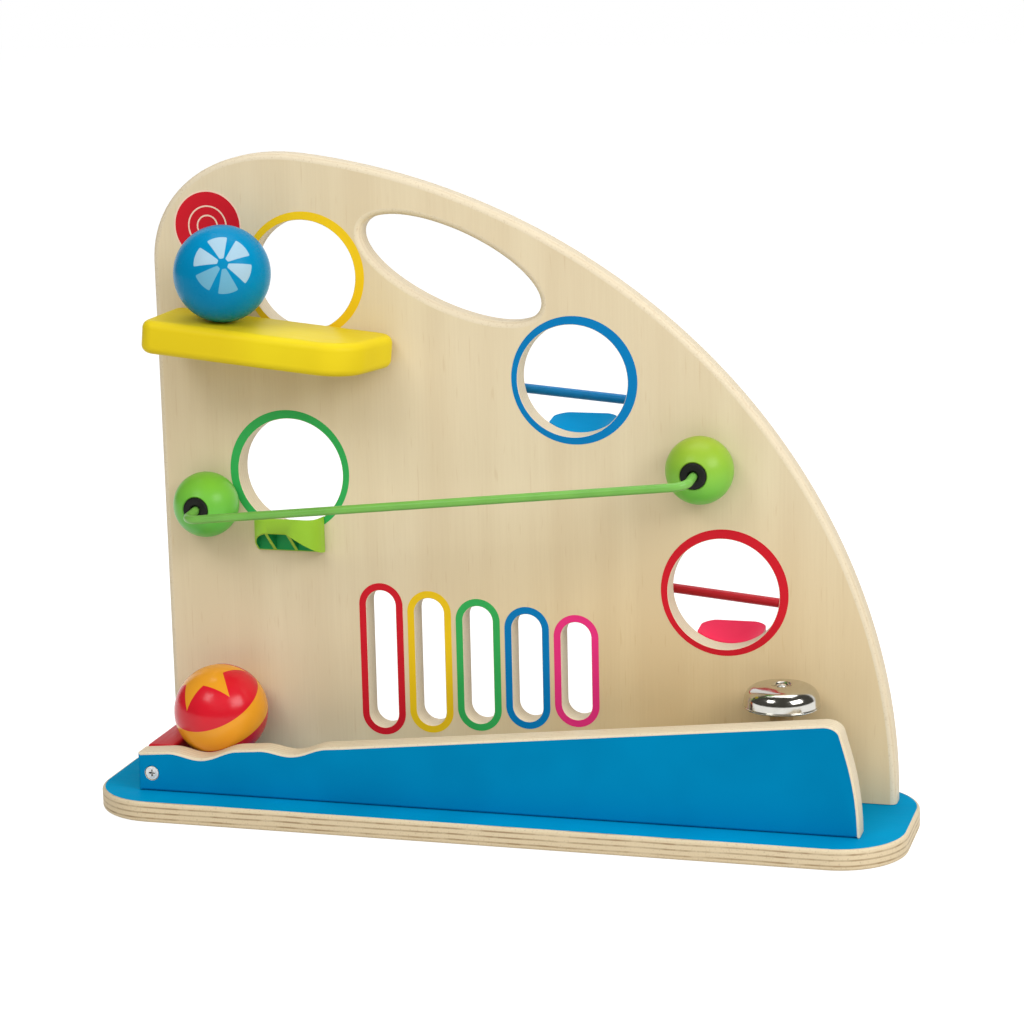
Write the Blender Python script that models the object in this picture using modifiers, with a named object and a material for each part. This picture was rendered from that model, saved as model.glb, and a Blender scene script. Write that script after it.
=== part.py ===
"""Wooden marble run: a plywood panel on a base board, with ball holes, wire rails, scoops and a bell.

Units are metres and +Z is up. +X runs along the base towards the bell, and -Y is the front.
The origin is the middle of the base board's underside.
"""

import math

import bmesh
import bpy
from mathutils import Matrix, Vector

MM = 0.001
GAP = 0.3 * MM  # clearance between pieces that touch

# Base board
BASE_LENGTH = 396 * MM
BASE_DEPTH = 99 * MM
BASE_THICKNESS = 10 * MM
BASE_CORNER = 33 * MM
BASE_EDGE_ROUND = 1.0 * MM
FLOOR = BASE_THICKNESS + GAP  # underside of what stands on the base
FOOT_SPARE = 6 * MM  # how far a board is drawn below the floor, before it is sawn square there

# Upright panel, drawn in X and Z
PANEL_FRONT = 20 * MM
PANEL_THICKNESS = 12 * MM
PANEL_BACK = PANEL_FRONT + PANEL_THICKNESS
PANEL_LEFT = -176.6 * MM
PANEL_EDGE_ROUND = 3.0 * MM
SWEEP_CENTRE = (-143.3 * MM, 12.4 * MM)  # the long edge is a quarter of an ellipse
SWEEP_RADII = (330 * MM, 304 * MM)
CORNER_START = 261.5 * MM  # height where the top left corner begins
CORNER_END = -100 * MM  # where the corner runs into the ellipse
CORNER_PULLS = (32.6 * MM, 46.6 * MM)  # handle lengths of the corner's curve
HANDLE_CENTRE = (-26.1 * MM, 260.7 * MM)
HANDLE_RADII = (47.9 * MM, 18.0 * MM)
HANDLE_TILT = math.radians(-23.5)

# Ball holes: where a ball of BALL_RADIUS passes through the panel
BALL_RADIUS = 23 * MM
HOLE_RADIUS = 27 * MM
HOLES = {
    "yellow": (-99.2 * MM, 256.2 * MM),
    "green": (-110.1 * MM, 159.8 * MM),
    "blue": (33.7 * MM, 208.6 * MM),
    "red": (105.0 * MM, 109.2 * MM),
}

# Rattle slots: five upright slots, each shorter than the one before
SLOT_COUNT = 5
SLOT_FIRST_X = -66.0 * MM
SLOT_PITCH = 24.5 * MM
SLOT_MIDDLE_Z = 67.6 * MM
SLOT_WIDTH = 16.8 * MM
SLOT_FIRST_HEIGHT = 69.8 * MM
SLOT_STEP = 5.2 * MM

# Front fence, whose top edge is the last rail
FENCE_FRONT = -31.5 * MM
FENCE_THICKNESS = 12 * MM
FENCE_BACK = FENCE_FRONT + FENCE_THICKNESS
FENCE_LEFT = -175.0 * MM
FENCE_RIGHT = 177.8 * MM
FENCE_EDGE_ROUND = 1.2 * MM
FENCE_KNEE = (-69.5 * MM, 38.2 * MM)  # where the parking end meets the long slope
FENCE_LONG_SLOPE = 0.1062
FENCE_PARK_SLOPE = 0.088
FENCE_SHOULDER = (161 * MM, 169 * MM)  # the top right corner, from and to
FENCE_SHOULDER_DROP = 4.0 * MM
FENCE_SHOULDER_PULLS = (4.8 * MM, (1.0 * MM, 2.0 * MM))  # curve handles: level, then steep
FENCE_END_PULLS = ((4.0 * MM, 14.0 * MM), 22.0 * MM)  # curve handles: at the shoulder, then at the foot
NOTCHES = (  # middle, depth and half width of each parking scallop
    (-141.8 * MM, 3.85 * MM, 18 * MM),
    (-95.3 * MM, 3.2 * MM, 17 * MM),
)

# End stop
STOP_WIDTH = 14 * MM
STOP_TOP = 29.6 * MM
STOP_ROUND = 1.5 * MM

# Start shelf: sizes in its own plane, which slopes down to the right
SHELF_LEFT = -165 * MM
SHELF_FRONT_CORNER = -61 * MM
SHELF_RIGHT = -51 * MM
SHELF_DEPTH = 48 * MM
SHELF_THICKNESS = 16 * MM
SHELF_EDGE_ROUND = 4.0 * MM
SHELF_TILT = math.radians(5.8)
SHELF_CORNERS = (7 * MM, 12 * MM)  # plan radii at the front, left and right
SHELF_BACK_CORNER = 4.5 * MM
SHELF_DOWELS = {"left": -145 * MM, "right": -73 * MM}
SHELF_DOWEL_DEPTH = 14 * MM
BLUE_BALL_X = -132 * MM
SHELF_TOP_AT_BALL = 237.2 * MM

# Wire rails: a staple of wire held by two wooden knobs on one face of the panel
WIRE_RADIUS = 2.1 * MM
WIRE_STANDOFF = 41 * MM
WIRE_DROP = 1.6 * MM  # the run hangs a little below the knobs
WIRE_BEND = 7 * MM
WIRE_START = 19 * MM
KNOB_RADIUS = 16 * MM
KNOB_CENTRE = 11 * MM
BUSH_RADIUS = 6.2 * MM
BUSH_BORE = 2.65 * MM
BUSH_SPAN = (18.0 * MM, 26.3 * MM)  # from and to, out from the panel
BUSH_SOFT = 1.0 * MM
DOWEL_RADIUS = 3 * MM
DOWEL_IN_KNOB = 9 * MM
DOWEL_IN_PANEL = 7.5 * MM
RAILS = {  # face, then X and Z of the left and right knob
    "green": ("front", (-149.8 * MM, 144.6 * MM), (96.0 * MM, 170.0 * MM)),
    "blue": ("back", (-140.0 * MM, 208.2 * MM), (78.0 * MM, 189.6 * MM)),
    "red": ("back", (-150.0 * MM, 120.2 * MM), (146.0 * MM, 91.5 * MM)),
}

# Scoops below three of the holes, measured from the hole's lowest point
SCOOP_WIDTH = 34 * MM
SCOOP_REACH = 15 * MM
SCOOP_RISE = 6 * MM
SCOOP_FOOT = -12 * MM
SCOOP_WALL = 2.5 * MM
SCOOP_APRON = -1 * MM
SCOOP_CORNER = 9 * MM
SCOOP_RIBS = (-16, -5.3, 5.3, 16)  # millimetres across
SCOOP_RIB = 2 * MM
PEG_RADIUS = 2.5 * MM
PEG_LENGTH = 6 * MM
PEG_SPREAD = 9 * MM
PEG_HEIGHT = -8 * MM

# Bell on its post behind the fence
BELL_AT = (136 * MM, 0.0)
BELL_RIM = 61.5 * MM
BELL_RADIUS = 18.2 * MM
BELL_HEIGHT = 10.5 * MM
BELL_WALL = 1.0 * MM
BELL_SHOULDER = 7.0 * MM  # radius of the turn from the crown to the rim
BELL_CROWN = 6.0 * MM  # radius of the nearly level crown
BELL_CROWN_FALL = 0.2 * MM
BELL_SHOULDER_FALL = 0.8 * MM
BELL_SHOULDER_START = math.radians(8)
BELL_BORE = 2.6 * MM
POST_RADIUS = 5.5 * MM
WASHER_THICKNESS = 1.2 * MM
BELL_SCREW_DEPTH = 12 * MM
BELL_SCREW_HEAD = ((0.0, 2.0), (1.4, 1.8), (2.6, 1.1), (3.1, 0.0))  # radius and height, in millimetres

# Wood screws from below, and the one that shows in the fence
SCREW_HEAD = 3.4 * MM
SCREW_SHANK = 1.8 * MM
SCREW_LENGTH = 22 * MM
SCREW_BRIM = 0.4 * MM  # straight edge of the countersunk head
SCREW_TIP = (0.8 * MM, 3.0 * MM)  # blunt end and taper length
SCREW_SINK = 0.6 * MM
FENCE_SCREW_AT = (-168.0 * MM, 19.1 * MM)
FENCE_SCREW_SINK = 0.2 * MM
RECESS = (1.9 * MM, 0.5 * MM, 1.3 * MM)  # half length, half width and depth of the cross
PANEL_SCREWS = (-150 * MM, 0.0, 150 * MM)
FENCE_SCREWS = (-120 * MM, 10 * MM, 150 * MM)

# Balls: the blue one stands free on the shelf, the red one parks in the first scallop, against the panel
BLUE_BALL_OFF = 5 * MM
RED_BALL_X = NOTCHES[0][0]

# Facets: how finely the curves are drawn
CORNER_FACETS = 8
SWEEP_FACETS = 32
HOLE_FACETS = 32
SLOT_FACETS = 7
NOTCH_FACETS = 8
BELL_FACETS = 24
KNOB_FACETS = 18
BALL_FACETS = (24, 14)  # around, and from pole to pole
SMALL_FACETS = 12  # bushes, dowels, pegs and screws
PLATE_CREASE = math.radians(20)  # edges turning more than this stay sharp
ROD_CREASE = math.radians(35)

COLOURS = {
    "birch_plywood": ("#e0cfae", 0.55, 0.0),
    "blue_paint": ("#0282b5", 0.45, 0.0),
    "yellow_paint": ("#f0d72e", 0.4, 0.0),
    "red_paint": ("#d81f2f", 0.4, 0.0),
    "green_paint": ("#95ca3d", 0.4, 0.0),
    "blue_enamel_wire": ("#066aa1", 0.35, 0.0),
    "red_enamel_wire": ("#981e27", 0.35, 0.0),
    "green_enamel_wire": ("#7db95c", 0.35, 0.0),
    "green_plastic": ("#9ec73c", 0.35, 0.0),
    "blue_plastic": ("#028dc5", 0.35, 0.0),
    "red_plastic": ("#eb3458", 0.35, 0.0),
    "black_rubber": ("#15160f", 0.7, 0.0),
    "chrome": ("#d9d7d2", 0.12, 1.0),
    "zinc": ("#c9c8c4", 0.3, 1.0),
    "beech": ("#d2b58a", 0.6, 0.0),
    "felt": ("#5b5048", 0.95, 0.0),
}


def clear_scene():
    for obj in list(bpy.data.objects):
        bpy.data.objects.remove(obj, do_unlink=True)


def new_collection(name, parent=None):
    collection = bpy.data.collections.new(name)
    (parent or bpy.context.scene.collection).children.link(collection)
    return collection


def to_linear(value):
    return value / 12.92 if value <= 0.04045 else ((value + 0.055) / 1.055) ** 2.4


def make_materials():
    materials = {}
    for name, (colour, roughness, metallic) in COLOURS.items():
        material = bpy.data.materials.new(name)
        material.use_nodes = True
        shader = material.node_tree.nodes["Principled BSDF"]
        channels = [to_linear(int(colour[i : i + 2], 16) / 255) for i in (1, 3, 5)]
        shader.inputs["Base Color"].default_value = (*channels, 1)
        shader.inputs["Roughness"].default_value = roughness
        shader.inputs["Metallic"].default_value = metallic
        materials[name] = material
    return materials


# Outlines in a plane, as lists of 2D points


def arc(centre, radius, start, end, count):
    """Points on a circle from one angle to another, in radians."""
    angles = [start + (end - start) * i / count for i in range(count + 1)]
    return [(centre[0] + radius * math.cos(a), centre[1] + radius * math.sin(a)) for a in angles]


def ellipse(centre, radii, tilt, count):
    points = []
    for i in range(count):
        angle = 2 * math.pi * i / count
        u, v = radii[0] * math.cos(angle), radii[1] * math.sin(angle)
        x = centre[0] + u * math.cos(tilt) - v * math.sin(tilt)
        points.append((x, centre[1] + u * math.sin(tilt) + v * math.cos(tilt)))
    return points


def bezier(p0, p1, p2, p3, count):
    points = []
    for i in range(count + 1):
        t = i / count
        weights = ((1 - t) ** 3, 3 * t * (1 - t) ** 2, 3 * t * t * (1 - t), t**3)
        x, z = (sum(w * p[k] for w, p in zip(weights, (p0, p1, p2, p3))) for k in (0, 1))
        points.append((x, z))
    return points


def round_corners(corners, count):
    """A closed outline from (x, y, radius) corners, listed anticlockwise."""
    points = []
    for i, (x, y, radius) in enumerate(corners):
        corner = Vector((x, y))
        before = (Vector(corners[i - 1][:2]) - corner).normalized()
        after = (Vector(corners[(i + 1) % len(corners)][:2]) - corner).normalized()
        if radius == 0:
            points.append((x, y))
            continue
        half = before.angle(after) / 2
        centre = corner + (before + after).normalized() * (radius / math.sin(half))
        start = corner + before * (radius / math.tan(half)) - centre
        turn = math.pi - 2 * half
        first = math.atan2(start.y, start.x)
        points += arc(centre, radius, first, first + turn, count)
    return points


def stadium(centre, width, height, count):
    radius = width / 2
    rise = height / 2 - radius
    top = arc((centre[0], centre[1] + rise), radius, 0, math.pi, count)
    return top + arc((centre[0], centre[1] - rise), radius, math.pi, 2 * math.pi, count)


# Blender objects


class Shop:
    """Makes the objects and files them under the parts or the cutters."""

    def __init__(self):
        self.parts = new_collection("wooden_marble_run")
        self.cutters = new_collection("cutters")
        self.materials = make_materials()

    def add(self, name, data, finish):
        obj = bpy.data.objects.new(name, data)
        self.parts.objects.link(obj)
        data.materials.append(self.materials[finish])
        return obj

    def add_cutter(self, name, data, collection=None):
        obj = bpy.data.objects.new(name, data)
        (collection or self.cutters).objects.link(obj)
        obj.hide_render = True
        obj.display_type = "WIRE"
        return obj

    def cutter_group(self, name):
        return new_collection(name, self.cutters)


def cut(obj, tool, operation="DIFFERENCE"):
    """Adds a Boolean by an object, or by every object of a collection."""
    modifier = obj.modifiers.new(operation.lower(), "BOOLEAN")
    modifier.operation = operation
    if isinstance(tool, bpy.types.Collection):
        modifier.operand_type = "COLLECTION"
        modifier.collection = tool
    else:
        modifier.object = tool


def smooth(mesh, crease):
    """Shades the round faces smooth and keeps the edges that turn more than the crease angle."""
    mesh.shade_smooth()
    mesh.set_sharp_from_angle(angle=crease)
    return mesh


def plate_mesh(name, outlines, thickness, edge_round=0.0, round_steps=0):
    """A flat outline, with any holes, as a closed mesh in XY with its thickness along Z.

    With no round_steps its edges are chamfered, and with more they are rounded.
    """
    curve = bpy.data.curves.new(name, "CURVE")
    curve.dimensions = "2D"
    curve.fill_mode = "BOTH"
    curve.extrude = thickness / 2 - edge_round
    curve.bevel_depth = edge_round
    curve.bevel_resolution = round_steps
    curve.offset = -edge_round
    for outline in outlines:
        spline = curve.splines.new("POLY")
        spline.points.add(len(outline) - 1)
        spline.use_cyclic_u = True
        for point, (x, y) in zip(spline.points, outline):
            point.co = (x, y, 0, 1)
    holder = bpy.data.objects.new(name + "_outline", curve)
    bpy.context.scene.collection.objects.link(holder)
    graph = bpy.context.evaluated_depsgraph_get()
    mesh = bpy.data.meshes.new_from_object(holder.evaluated_get(graph))
    bpy.data.objects.remove(holder, do_unlink=True)
    shape = bmesh.new()
    shape.from_mesh(mesh)
    bmesh.ops.remove_doubles(shape, verts=shape.verts, dist=0.01 * MM)
    bmesh.ops.recalc_face_normals(shape, faces=shape.faces)
    shape.to_mesh(mesh)
    shape.free()
    mesh.name = name
    return smooth(mesh, PLATE_CREASE)


def turned_mesh(name, profile, closed=False):
    """The edge chain of a turned profile, in X and Z, for a Screw modifier."""
    mesh = bpy.data.meshes.new(name)
    edges = [(i, i + 1) for i in range(len(profile) - 1)]
    if closed:
        edges.append((len(profile) - 1, 0))
    mesh.from_pydata([(r, 0, z) for r, z in profile], edges, [])
    return mesh


def spin(obj, steps):
    modifier = obj.modifiers.new("turn", "SCREW")
    modifier.steps = steps
    modifier.render_steps = steps
    modifier.use_merge_vertices = True
    modifier.merge_threshold = 0.01 * MM
    return obj


def cylinder_mesh(name, radius, depth):
    """A cylinder along Z that starts at the origin and runs up."""
    shape = bmesh.new()
    bmesh.ops.create_cone(
        shape,
        cap_ends=True,
        segments=SMALL_FACETS,
        radius1=radius,
        radius2=radius,
        depth=depth,
        matrix=Matrix.Translation((0, 0, depth / 2)),
    )
    mesh = bpy.data.meshes.new(name)
    shape.to_mesh(mesh)
    shape.free()
    return smooth(mesh, ROD_CREASE)


def box_mesh(name, low, high):
    shape = bmesh.new()
    bmesh.ops.create_cube(shape, size=1)
    size = Vector(high) - Vector(low)
    middle = (Vector(high) + Vector(low)) / 2
    place = Matrix.Translation(middle) @ Matrix.Diagonal((*size, 1))
    bmesh.ops.transform(shape, matrix=place, verts=shape.verts)
    mesh = bpy.data.meshes.new(name)
    shape.to_mesh(mesh)
    shape.free()
    return mesh


# Placing on the panel's two faces: local +Z points out of the face


def stand_on_panel(obj, face, spot, out=0.0):
    """Places an object on a face of the panel, at the spot's X and Z."""
    x, z = spot
    if face == "front":
        obj.location = (x, PANEL_FRONT - out, z)
        obj.rotation_euler = (math.pi / 2, 0, 0)
    else:
        obj.location = (x, PANEL_BACK + out, z)
        obj.rotation_euler = (-math.pi / 2, 0, 0)


def panel_y(face, out):
    return PANEL_FRONT - out if face == "front" else PANEL_BACK + out


def drill(shop, group, name, radius, depth, face, spot):
    """A blind hole cutter, sunk into one face of the panel, for a peg of this radius and depth."""
    cutter = shop.add_cutter(name, cylinder_mesh(name, radius + GAP, depth + GAP + MM), group)
    stand_on_panel(cutter, face, spot, -depth - GAP)


# Base, panel, fence and stop


def build_base(shop):
    x, y = BASE_LENGTH / 2, BASE_DEPTH / 2
    corners = [(-x, -y), (x, -y), (x, y), (-x, y)]
    outline = round_corners([(*corner, BASE_CORNER) for corner in corners], CORNER_FACETS)
    mesh = plate_mesh("base_board", [outline], BASE_THICKNESS, BASE_EDGE_ROUND)
    base = shop.add("base_board", mesh, "blue_paint")
    base.location = (0, 0, BASE_THICKNESS / 2)
    return base


def panel_outline():
    (cx, cz), (rx, rz) = SWEEP_CENTRE, SWEEP_RADII
    meet = math.acos((CORNER_END - cx) / rx)
    meet_z = cz + rz * math.sin(meet)
    along = Vector((rx * math.sin(meet), -rz * math.cos(meet))).normalized()
    pull_up, pull_back = CORNER_PULLS
    corner = bezier(
        (PANEL_LEFT, CORNER_START),
        (PANEL_LEFT, CORNER_START + pull_up),
        (CORNER_END - along.x * pull_back, meet_z - along.y * pull_back),
        (CORNER_END, meet_z),
        CORNER_FACETS,
    )
    angles = [meet * (1 - i / SWEEP_FACETS) for i in range(1, SWEEP_FACETS)]
    sweep = [(cx + rx * math.cos(a), cz + rz * math.sin(a)) for a in angles]
    foot = FLOOR - FOOT_SPARE
    outline = [(PANEL_LEFT, foot)] + corner + sweep + [(cx + rx, foot)]
    return outline[::-1]


def build_panel(shop):
    handle = ellipse(HANDLE_CENTRE, HANDLE_RADII, HANDLE_TILT, HOLE_FACETS)
    mesh = plate_mesh("upright_panel", [panel_outline(), handle], PANEL_THICKNESS, PANEL_EDGE_ROUND, 1)
    panel = shop.add("upright_panel", mesh, "birch_plywood")
    panel.location.y = (PANEL_FRONT + PANEL_BACK) / 2
    panel.rotation_euler.x = math.pi / 2
    round_hole = (HOLE_RADIUS, HOLE_RADIUS)
    windows = [ellipse(centre, round_hole, 0, HOLE_FACETS) for centre in HOLES.values()]
    for i in range(SLOT_COUNT):
        centre = (SLOT_FIRST_X + i * SLOT_PITCH, SLOT_MIDDLE_Z)
        windows.append(stadium(centre, SLOT_WIDTH, SLOT_FIRST_HEIGHT - i * SLOT_STEP, SLOT_FACETS))
    through = plate_mesh("panel_windows", windows, 3 * PANEL_THICKNESS)
    cutter = shop.add_cutter("panel_windows", through)
    cutter.location = panel.location
    cutter.rotation_euler = panel.rotation_euler
    cut(panel, cutter)
    return panel


def fence_top(x):
    """Height of the fence's top edge, less its parking scallops."""
    knee_x, knee_z = FENCE_KNEE
    slope = FENCE_LONG_SLOPE if x > knee_x else FENCE_PARK_SLOPE
    height = knee_z + slope * (x - knee_x)
    for middle, depth, half in NOTCHES:
        if abs(x - middle) < half:
            height -= depth * (1 + math.cos(math.pi * (x - middle) / half)) / 2
    return height


def build_fence(shop):
    notches = []
    for middle, _, half in NOTCHES:
        notches += [middle + half * (2 * i / NOTCH_FACETS - 1) for i in range(NOTCH_FACETS + 1)]
    stations = [FENCE_LEFT] + notches + [FENCE_KNEE[0], FENCE_SHOULDER[0]]
    top = [(x, fence_top(x)) for x in stations]
    crest = top[-1]
    turn = (FENCE_SHOULDER[1], crest[1] - FENCE_SHOULDER_DROP)
    level, steep = FENCE_SHOULDER_PULLS
    over = (crest[0] + level, crest[1])
    shoulder = bezier(crest, over, (turn[0] - steep[0], turn[1] + steep[1]), turn, CORNER_FACETS // 2)
    lean, rise = FENCE_END_PULLS
    below = (turn[0] + lean[0], turn[1] - lean[1])
    foot = FLOOR - FOOT_SPARE
    end = bezier(turn, below, (FENCE_RIGHT, FLOOR + rise), (FENCE_RIGHT, foot), CORNER_FACETS)
    outline = [(FENCE_LEFT, foot)] + top + shoulder[1:] + end[1:]
    mesh = plate_mesh("front_fence", [outline[::-1]], FENCE_THICKNESS, FENCE_EDGE_ROUND)
    fence = shop.add("front_fence", mesh, "blue_paint")
    fence.location.y = (FENCE_FRONT + FENCE_BACK) / 2
    fence.rotation_euler.x = math.pi / 2
    return fence


def build_stop(shop):
    low = (FENCE_LEFT, FENCE_BACK + GAP, FLOOR)
    high = (FENCE_LEFT + STOP_WIDTH, PANEL_FRONT - GAP, STOP_TOP)
    stop = shop.add("end_stop", box_mesh("end_stop", low, high), "red_paint")
    bevel = stop.modifiers.new("rounding", "BEVEL")
    bevel.width = STOP_ROUND
    bevel.segments = 2
    return stop


# Start shelf


def build_shelf(shop, panel_drills):
    """The shelf is drawn about the blue ball's X, so that it tilts where the ball stands."""
    left, right = SHELF_CORNERS
    back = PANEL_FRONT - GAP
    front = PANEL_FRONT - SHELF_DEPTH
    stretch = 1 / math.cos(SHELF_TILT)

    def along(x):
        return (x - BLUE_BALL_X) * stretch

    outline = round_corners(
        [
            (along(SHELF_LEFT), back, SHELF_BACK_CORNER),
            (along(SHELF_LEFT), front, left),
            (along(SHELF_FRONT_CORNER), front, right),
            (along(SHELF_RIGHT), back, SHELF_BACK_CORNER),
        ],
        CORNER_FACETS // 2,
    )
    mesh = plate_mesh("start_shelf", [outline], SHELF_THICKNESS, SHELF_EDGE_ROUND, 1)
    shelf = shop.add("start_shelf", mesh, "yellow_paint")
    tilt = Matrix.Rotation(SHELF_TILT, 4, "Y")
    top = Matrix.Translation((BLUE_BALL_X, 0, SHELF_TOP_AT_BALL))
    shelf.matrix_world = top @ tilt @ Matrix.Translation((0, 0, -SHELF_THICKNESS / 2))
    drills = shop.cutter_group("shelf_drills")
    middle_at_ball = SHELF_TOP_AT_BALL - SHELF_THICKNESS / 2 * stretch
    for side, x in SHELF_DOWELS.items():
        spot = (x, middle_at_ball - (x - BLUE_BALL_X) * math.tan(SHELF_TILT))
        name = "shelf_dowel_" + side
        rod = cylinder_mesh(name, DOWEL_RADIUS, DOWEL_IN_PANEL + SHELF_DOWEL_DEPTH)
        stand_on_panel(shop.add(name, rod, "beech"), "front", spot, -DOWEL_IN_PANEL)
        drill(shop, panel_drills, name + "_hole", DOWEL_RADIUS, DOWEL_IN_PANEL, "front", spot)
        bore = cylinder_mesh(name + "_bore", DOWEL_RADIUS + GAP, SHELF_DOWEL_DEPTH + 2 * GAP)
        stand_on_panel(shop.add_cutter(name + "_bore", bore, drills), "front", spot, -GAP)
    cut(shelf, drills)
    return shelf


# Wire rails


def knob_profile():
    """From the bush's bore, over the ball, round to the dowel hole in the flat back."""
    bore = BUSH_RADIUS + GAP
    bore_floor = BUSH_SPAN[0] - GAP
    lip = math.asin(bore / KNOB_RADIUS)
    foot = math.pi - math.acos((KNOB_CENTRE - GAP) / KNOB_RADIUS)
    angles = [lip + (foot - lip) * i / CORNER_FACETS for i in range(CORNER_FACETS + 1)]
    ball = [(KNOB_RADIUS * math.sin(a), KNOB_CENTRE + KNOB_RADIUS * math.cos(a)) for a in angles]
    dowel = DOWEL_RADIUS + GAP
    dowel_end = DOWEL_IN_KNOB + GAP
    dowel_hole = [(dowel, GAP), (dowel, dowel_end), (0, dowel_end)]
    return [(0, bore_floor), (bore, bore_floor)] + ball + dowel_hole


def bush_profile():
    low, high = BUSH_SPAN
    return [
        (BUSH_BORE, high),
        (BUSH_RADIUS - BUSH_SOFT, high),
        (BUSH_RADIUS, high - BUSH_SOFT),
        (BUSH_RADIUS, low),
        (BUSH_BORE, low),
    ]


def fillet(points, radius, count):
    """A path through the points, with every inner corner turned on an arc of this radius."""
    path = [points[0]]
    for before, corner, after in zip(points, points[1:], points[2:]):
        a = (before - corner).normalized()
        b = (after - corner).normalized()
        half = a.angle(b) / 2
        centre = corner + (a + b).normalized() * (radius / math.sin(half))
        start = corner + a * (radius / math.tan(half)) - centre
        axis = start.cross(corner + b * (radius / math.tan(half)) - centre).normalized()
        for i in range(count + 1):
            path.append(centre + Matrix.Rotation((math.pi - 2 * half) * i / count, 3, axis) @ start)
    return path + [points[-1]]


def wire_points(face, left, right):
    pivot = sum(BUSH_SPAN) / 2
    lean = WIRE_DROP / (WIRE_STANDOFF - pivot)

    def place(knob, out):
        return Vector((knob[0], panel_y(face, out), knob[1] - lean * (out - pivot)))

    ends = [(left, WIRE_START), (left, WIRE_STANDOFF), (right, WIRE_STANDOFF), (right, WIRE_START)]
    return fillet([place(knob, out) for knob, out in ends], WIRE_BEND, CORNER_FACETS // 2)


def build_wire(shop, name, points, finish):
    curve = bpy.data.curves.new(name, "CURVE")
    curve.dimensions = "3D"
    curve.bevel_depth = WIRE_RADIUS
    curve.bevel_resolution = 2
    curve.use_fill_caps = True
    spline = curve.splines.new("POLY")
    spline.points.add(len(points) - 1)
    for point, place in zip(spline.points, points):
        point.co = (*place, 1)
    return shop.add(name, curve, finish)


def build_rail(shop, colour, panel_drills):
    face, left, right = RAILS[colour]
    paint = colour + "_paint"
    build_wire(shop, colour + "_wire", wire_points(face, left, right), colour + "_enamel_wire")
    for side, spot in (("left", left), ("right", right)):
        name = f"{colour}_knob_{side}"
        knob = shop.add(name, turned_mesh(name, knob_profile()), paint)
        stand_on_panel(spin(knob, KNOB_FACETS), face, spot)
        name = f"{colour}_bush_{side}"
        bush = shop.add(name, turned_mesh(name, bush_profile(), closed=True), "black_rubber")
        stand_on_panel(spin(bush, SMALL_FACETS), face, spot)
        name = f"{colour}_dowel_{side}"
        rod = cylinder_mesh(name, DOWEL_RADIUS, DOWEL_IN_PANEL + DOWEL_IN_KNOB)
        stand_on_panel(shop.add(name, rod, "beech"), face, spot, -DOWEL_IN_PANEL)
        drill(shop, panel_drills, name + "_hole", DOWEL_RADIUS, DOWEL_IN_PANEL, face, spot)


# Scoops


def scoop_section():
    """Side view of the tray, its front apron and its foot: distance out, then height."""
    slope = (SCOOP_RISE + GAP) / SCOOP_REACH
    under = SCOOP_WALL * math.hypot(1, slope)
    inner = SCOOP_REACH - SCOOP_WALL
    return [
        (GAP, SCOOP_FOOT),
        (SCOOP_WALL, SCOOP_FOOT),
        (SCOOP_WALL, slope * SCOOP_WALL - under),
        (inner, slope * inner - under),
        (inner, SCOOP_APRON),
        (SCOOP_REACH, SCOOP_APRON),
        (SCOOP_REACH, SCOOP_RISE),
        (GAP, -GAP),
    ]


def rib_section():
    """A gusset from the apron to the foot, let a little way into both."""
    overlap = 0.5 * MM
    section = scoop_section()
    return [
        (SCOOP_WALL - overlap, SCOOP_FOOT + overlap),
        (SCOOP_WALL + overlap, SCOOP_FOOT + overlap),
        (SCOOP_REACH - overlap, SCOOP_APRON + overlap),
        (SCOOP_REACH - overlap, section[3][1] + overlap),
        (SCOOP_WALL - overlap, section[2][1] + overlap),
    ]


def side_plate(name, section, width):
    """An outline in (out, height), as thick as the width.

    It is turned so that out is local Z and height is local Y.
    """
    mesh = plate_mesh(name, [section], width)
    mesh.transform(Matrix(((0, 0, -1, 0), (0, 1, 0, 0), (1, 0, 0, 0), (0, 0, 0, 1))))
    return mesh


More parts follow.
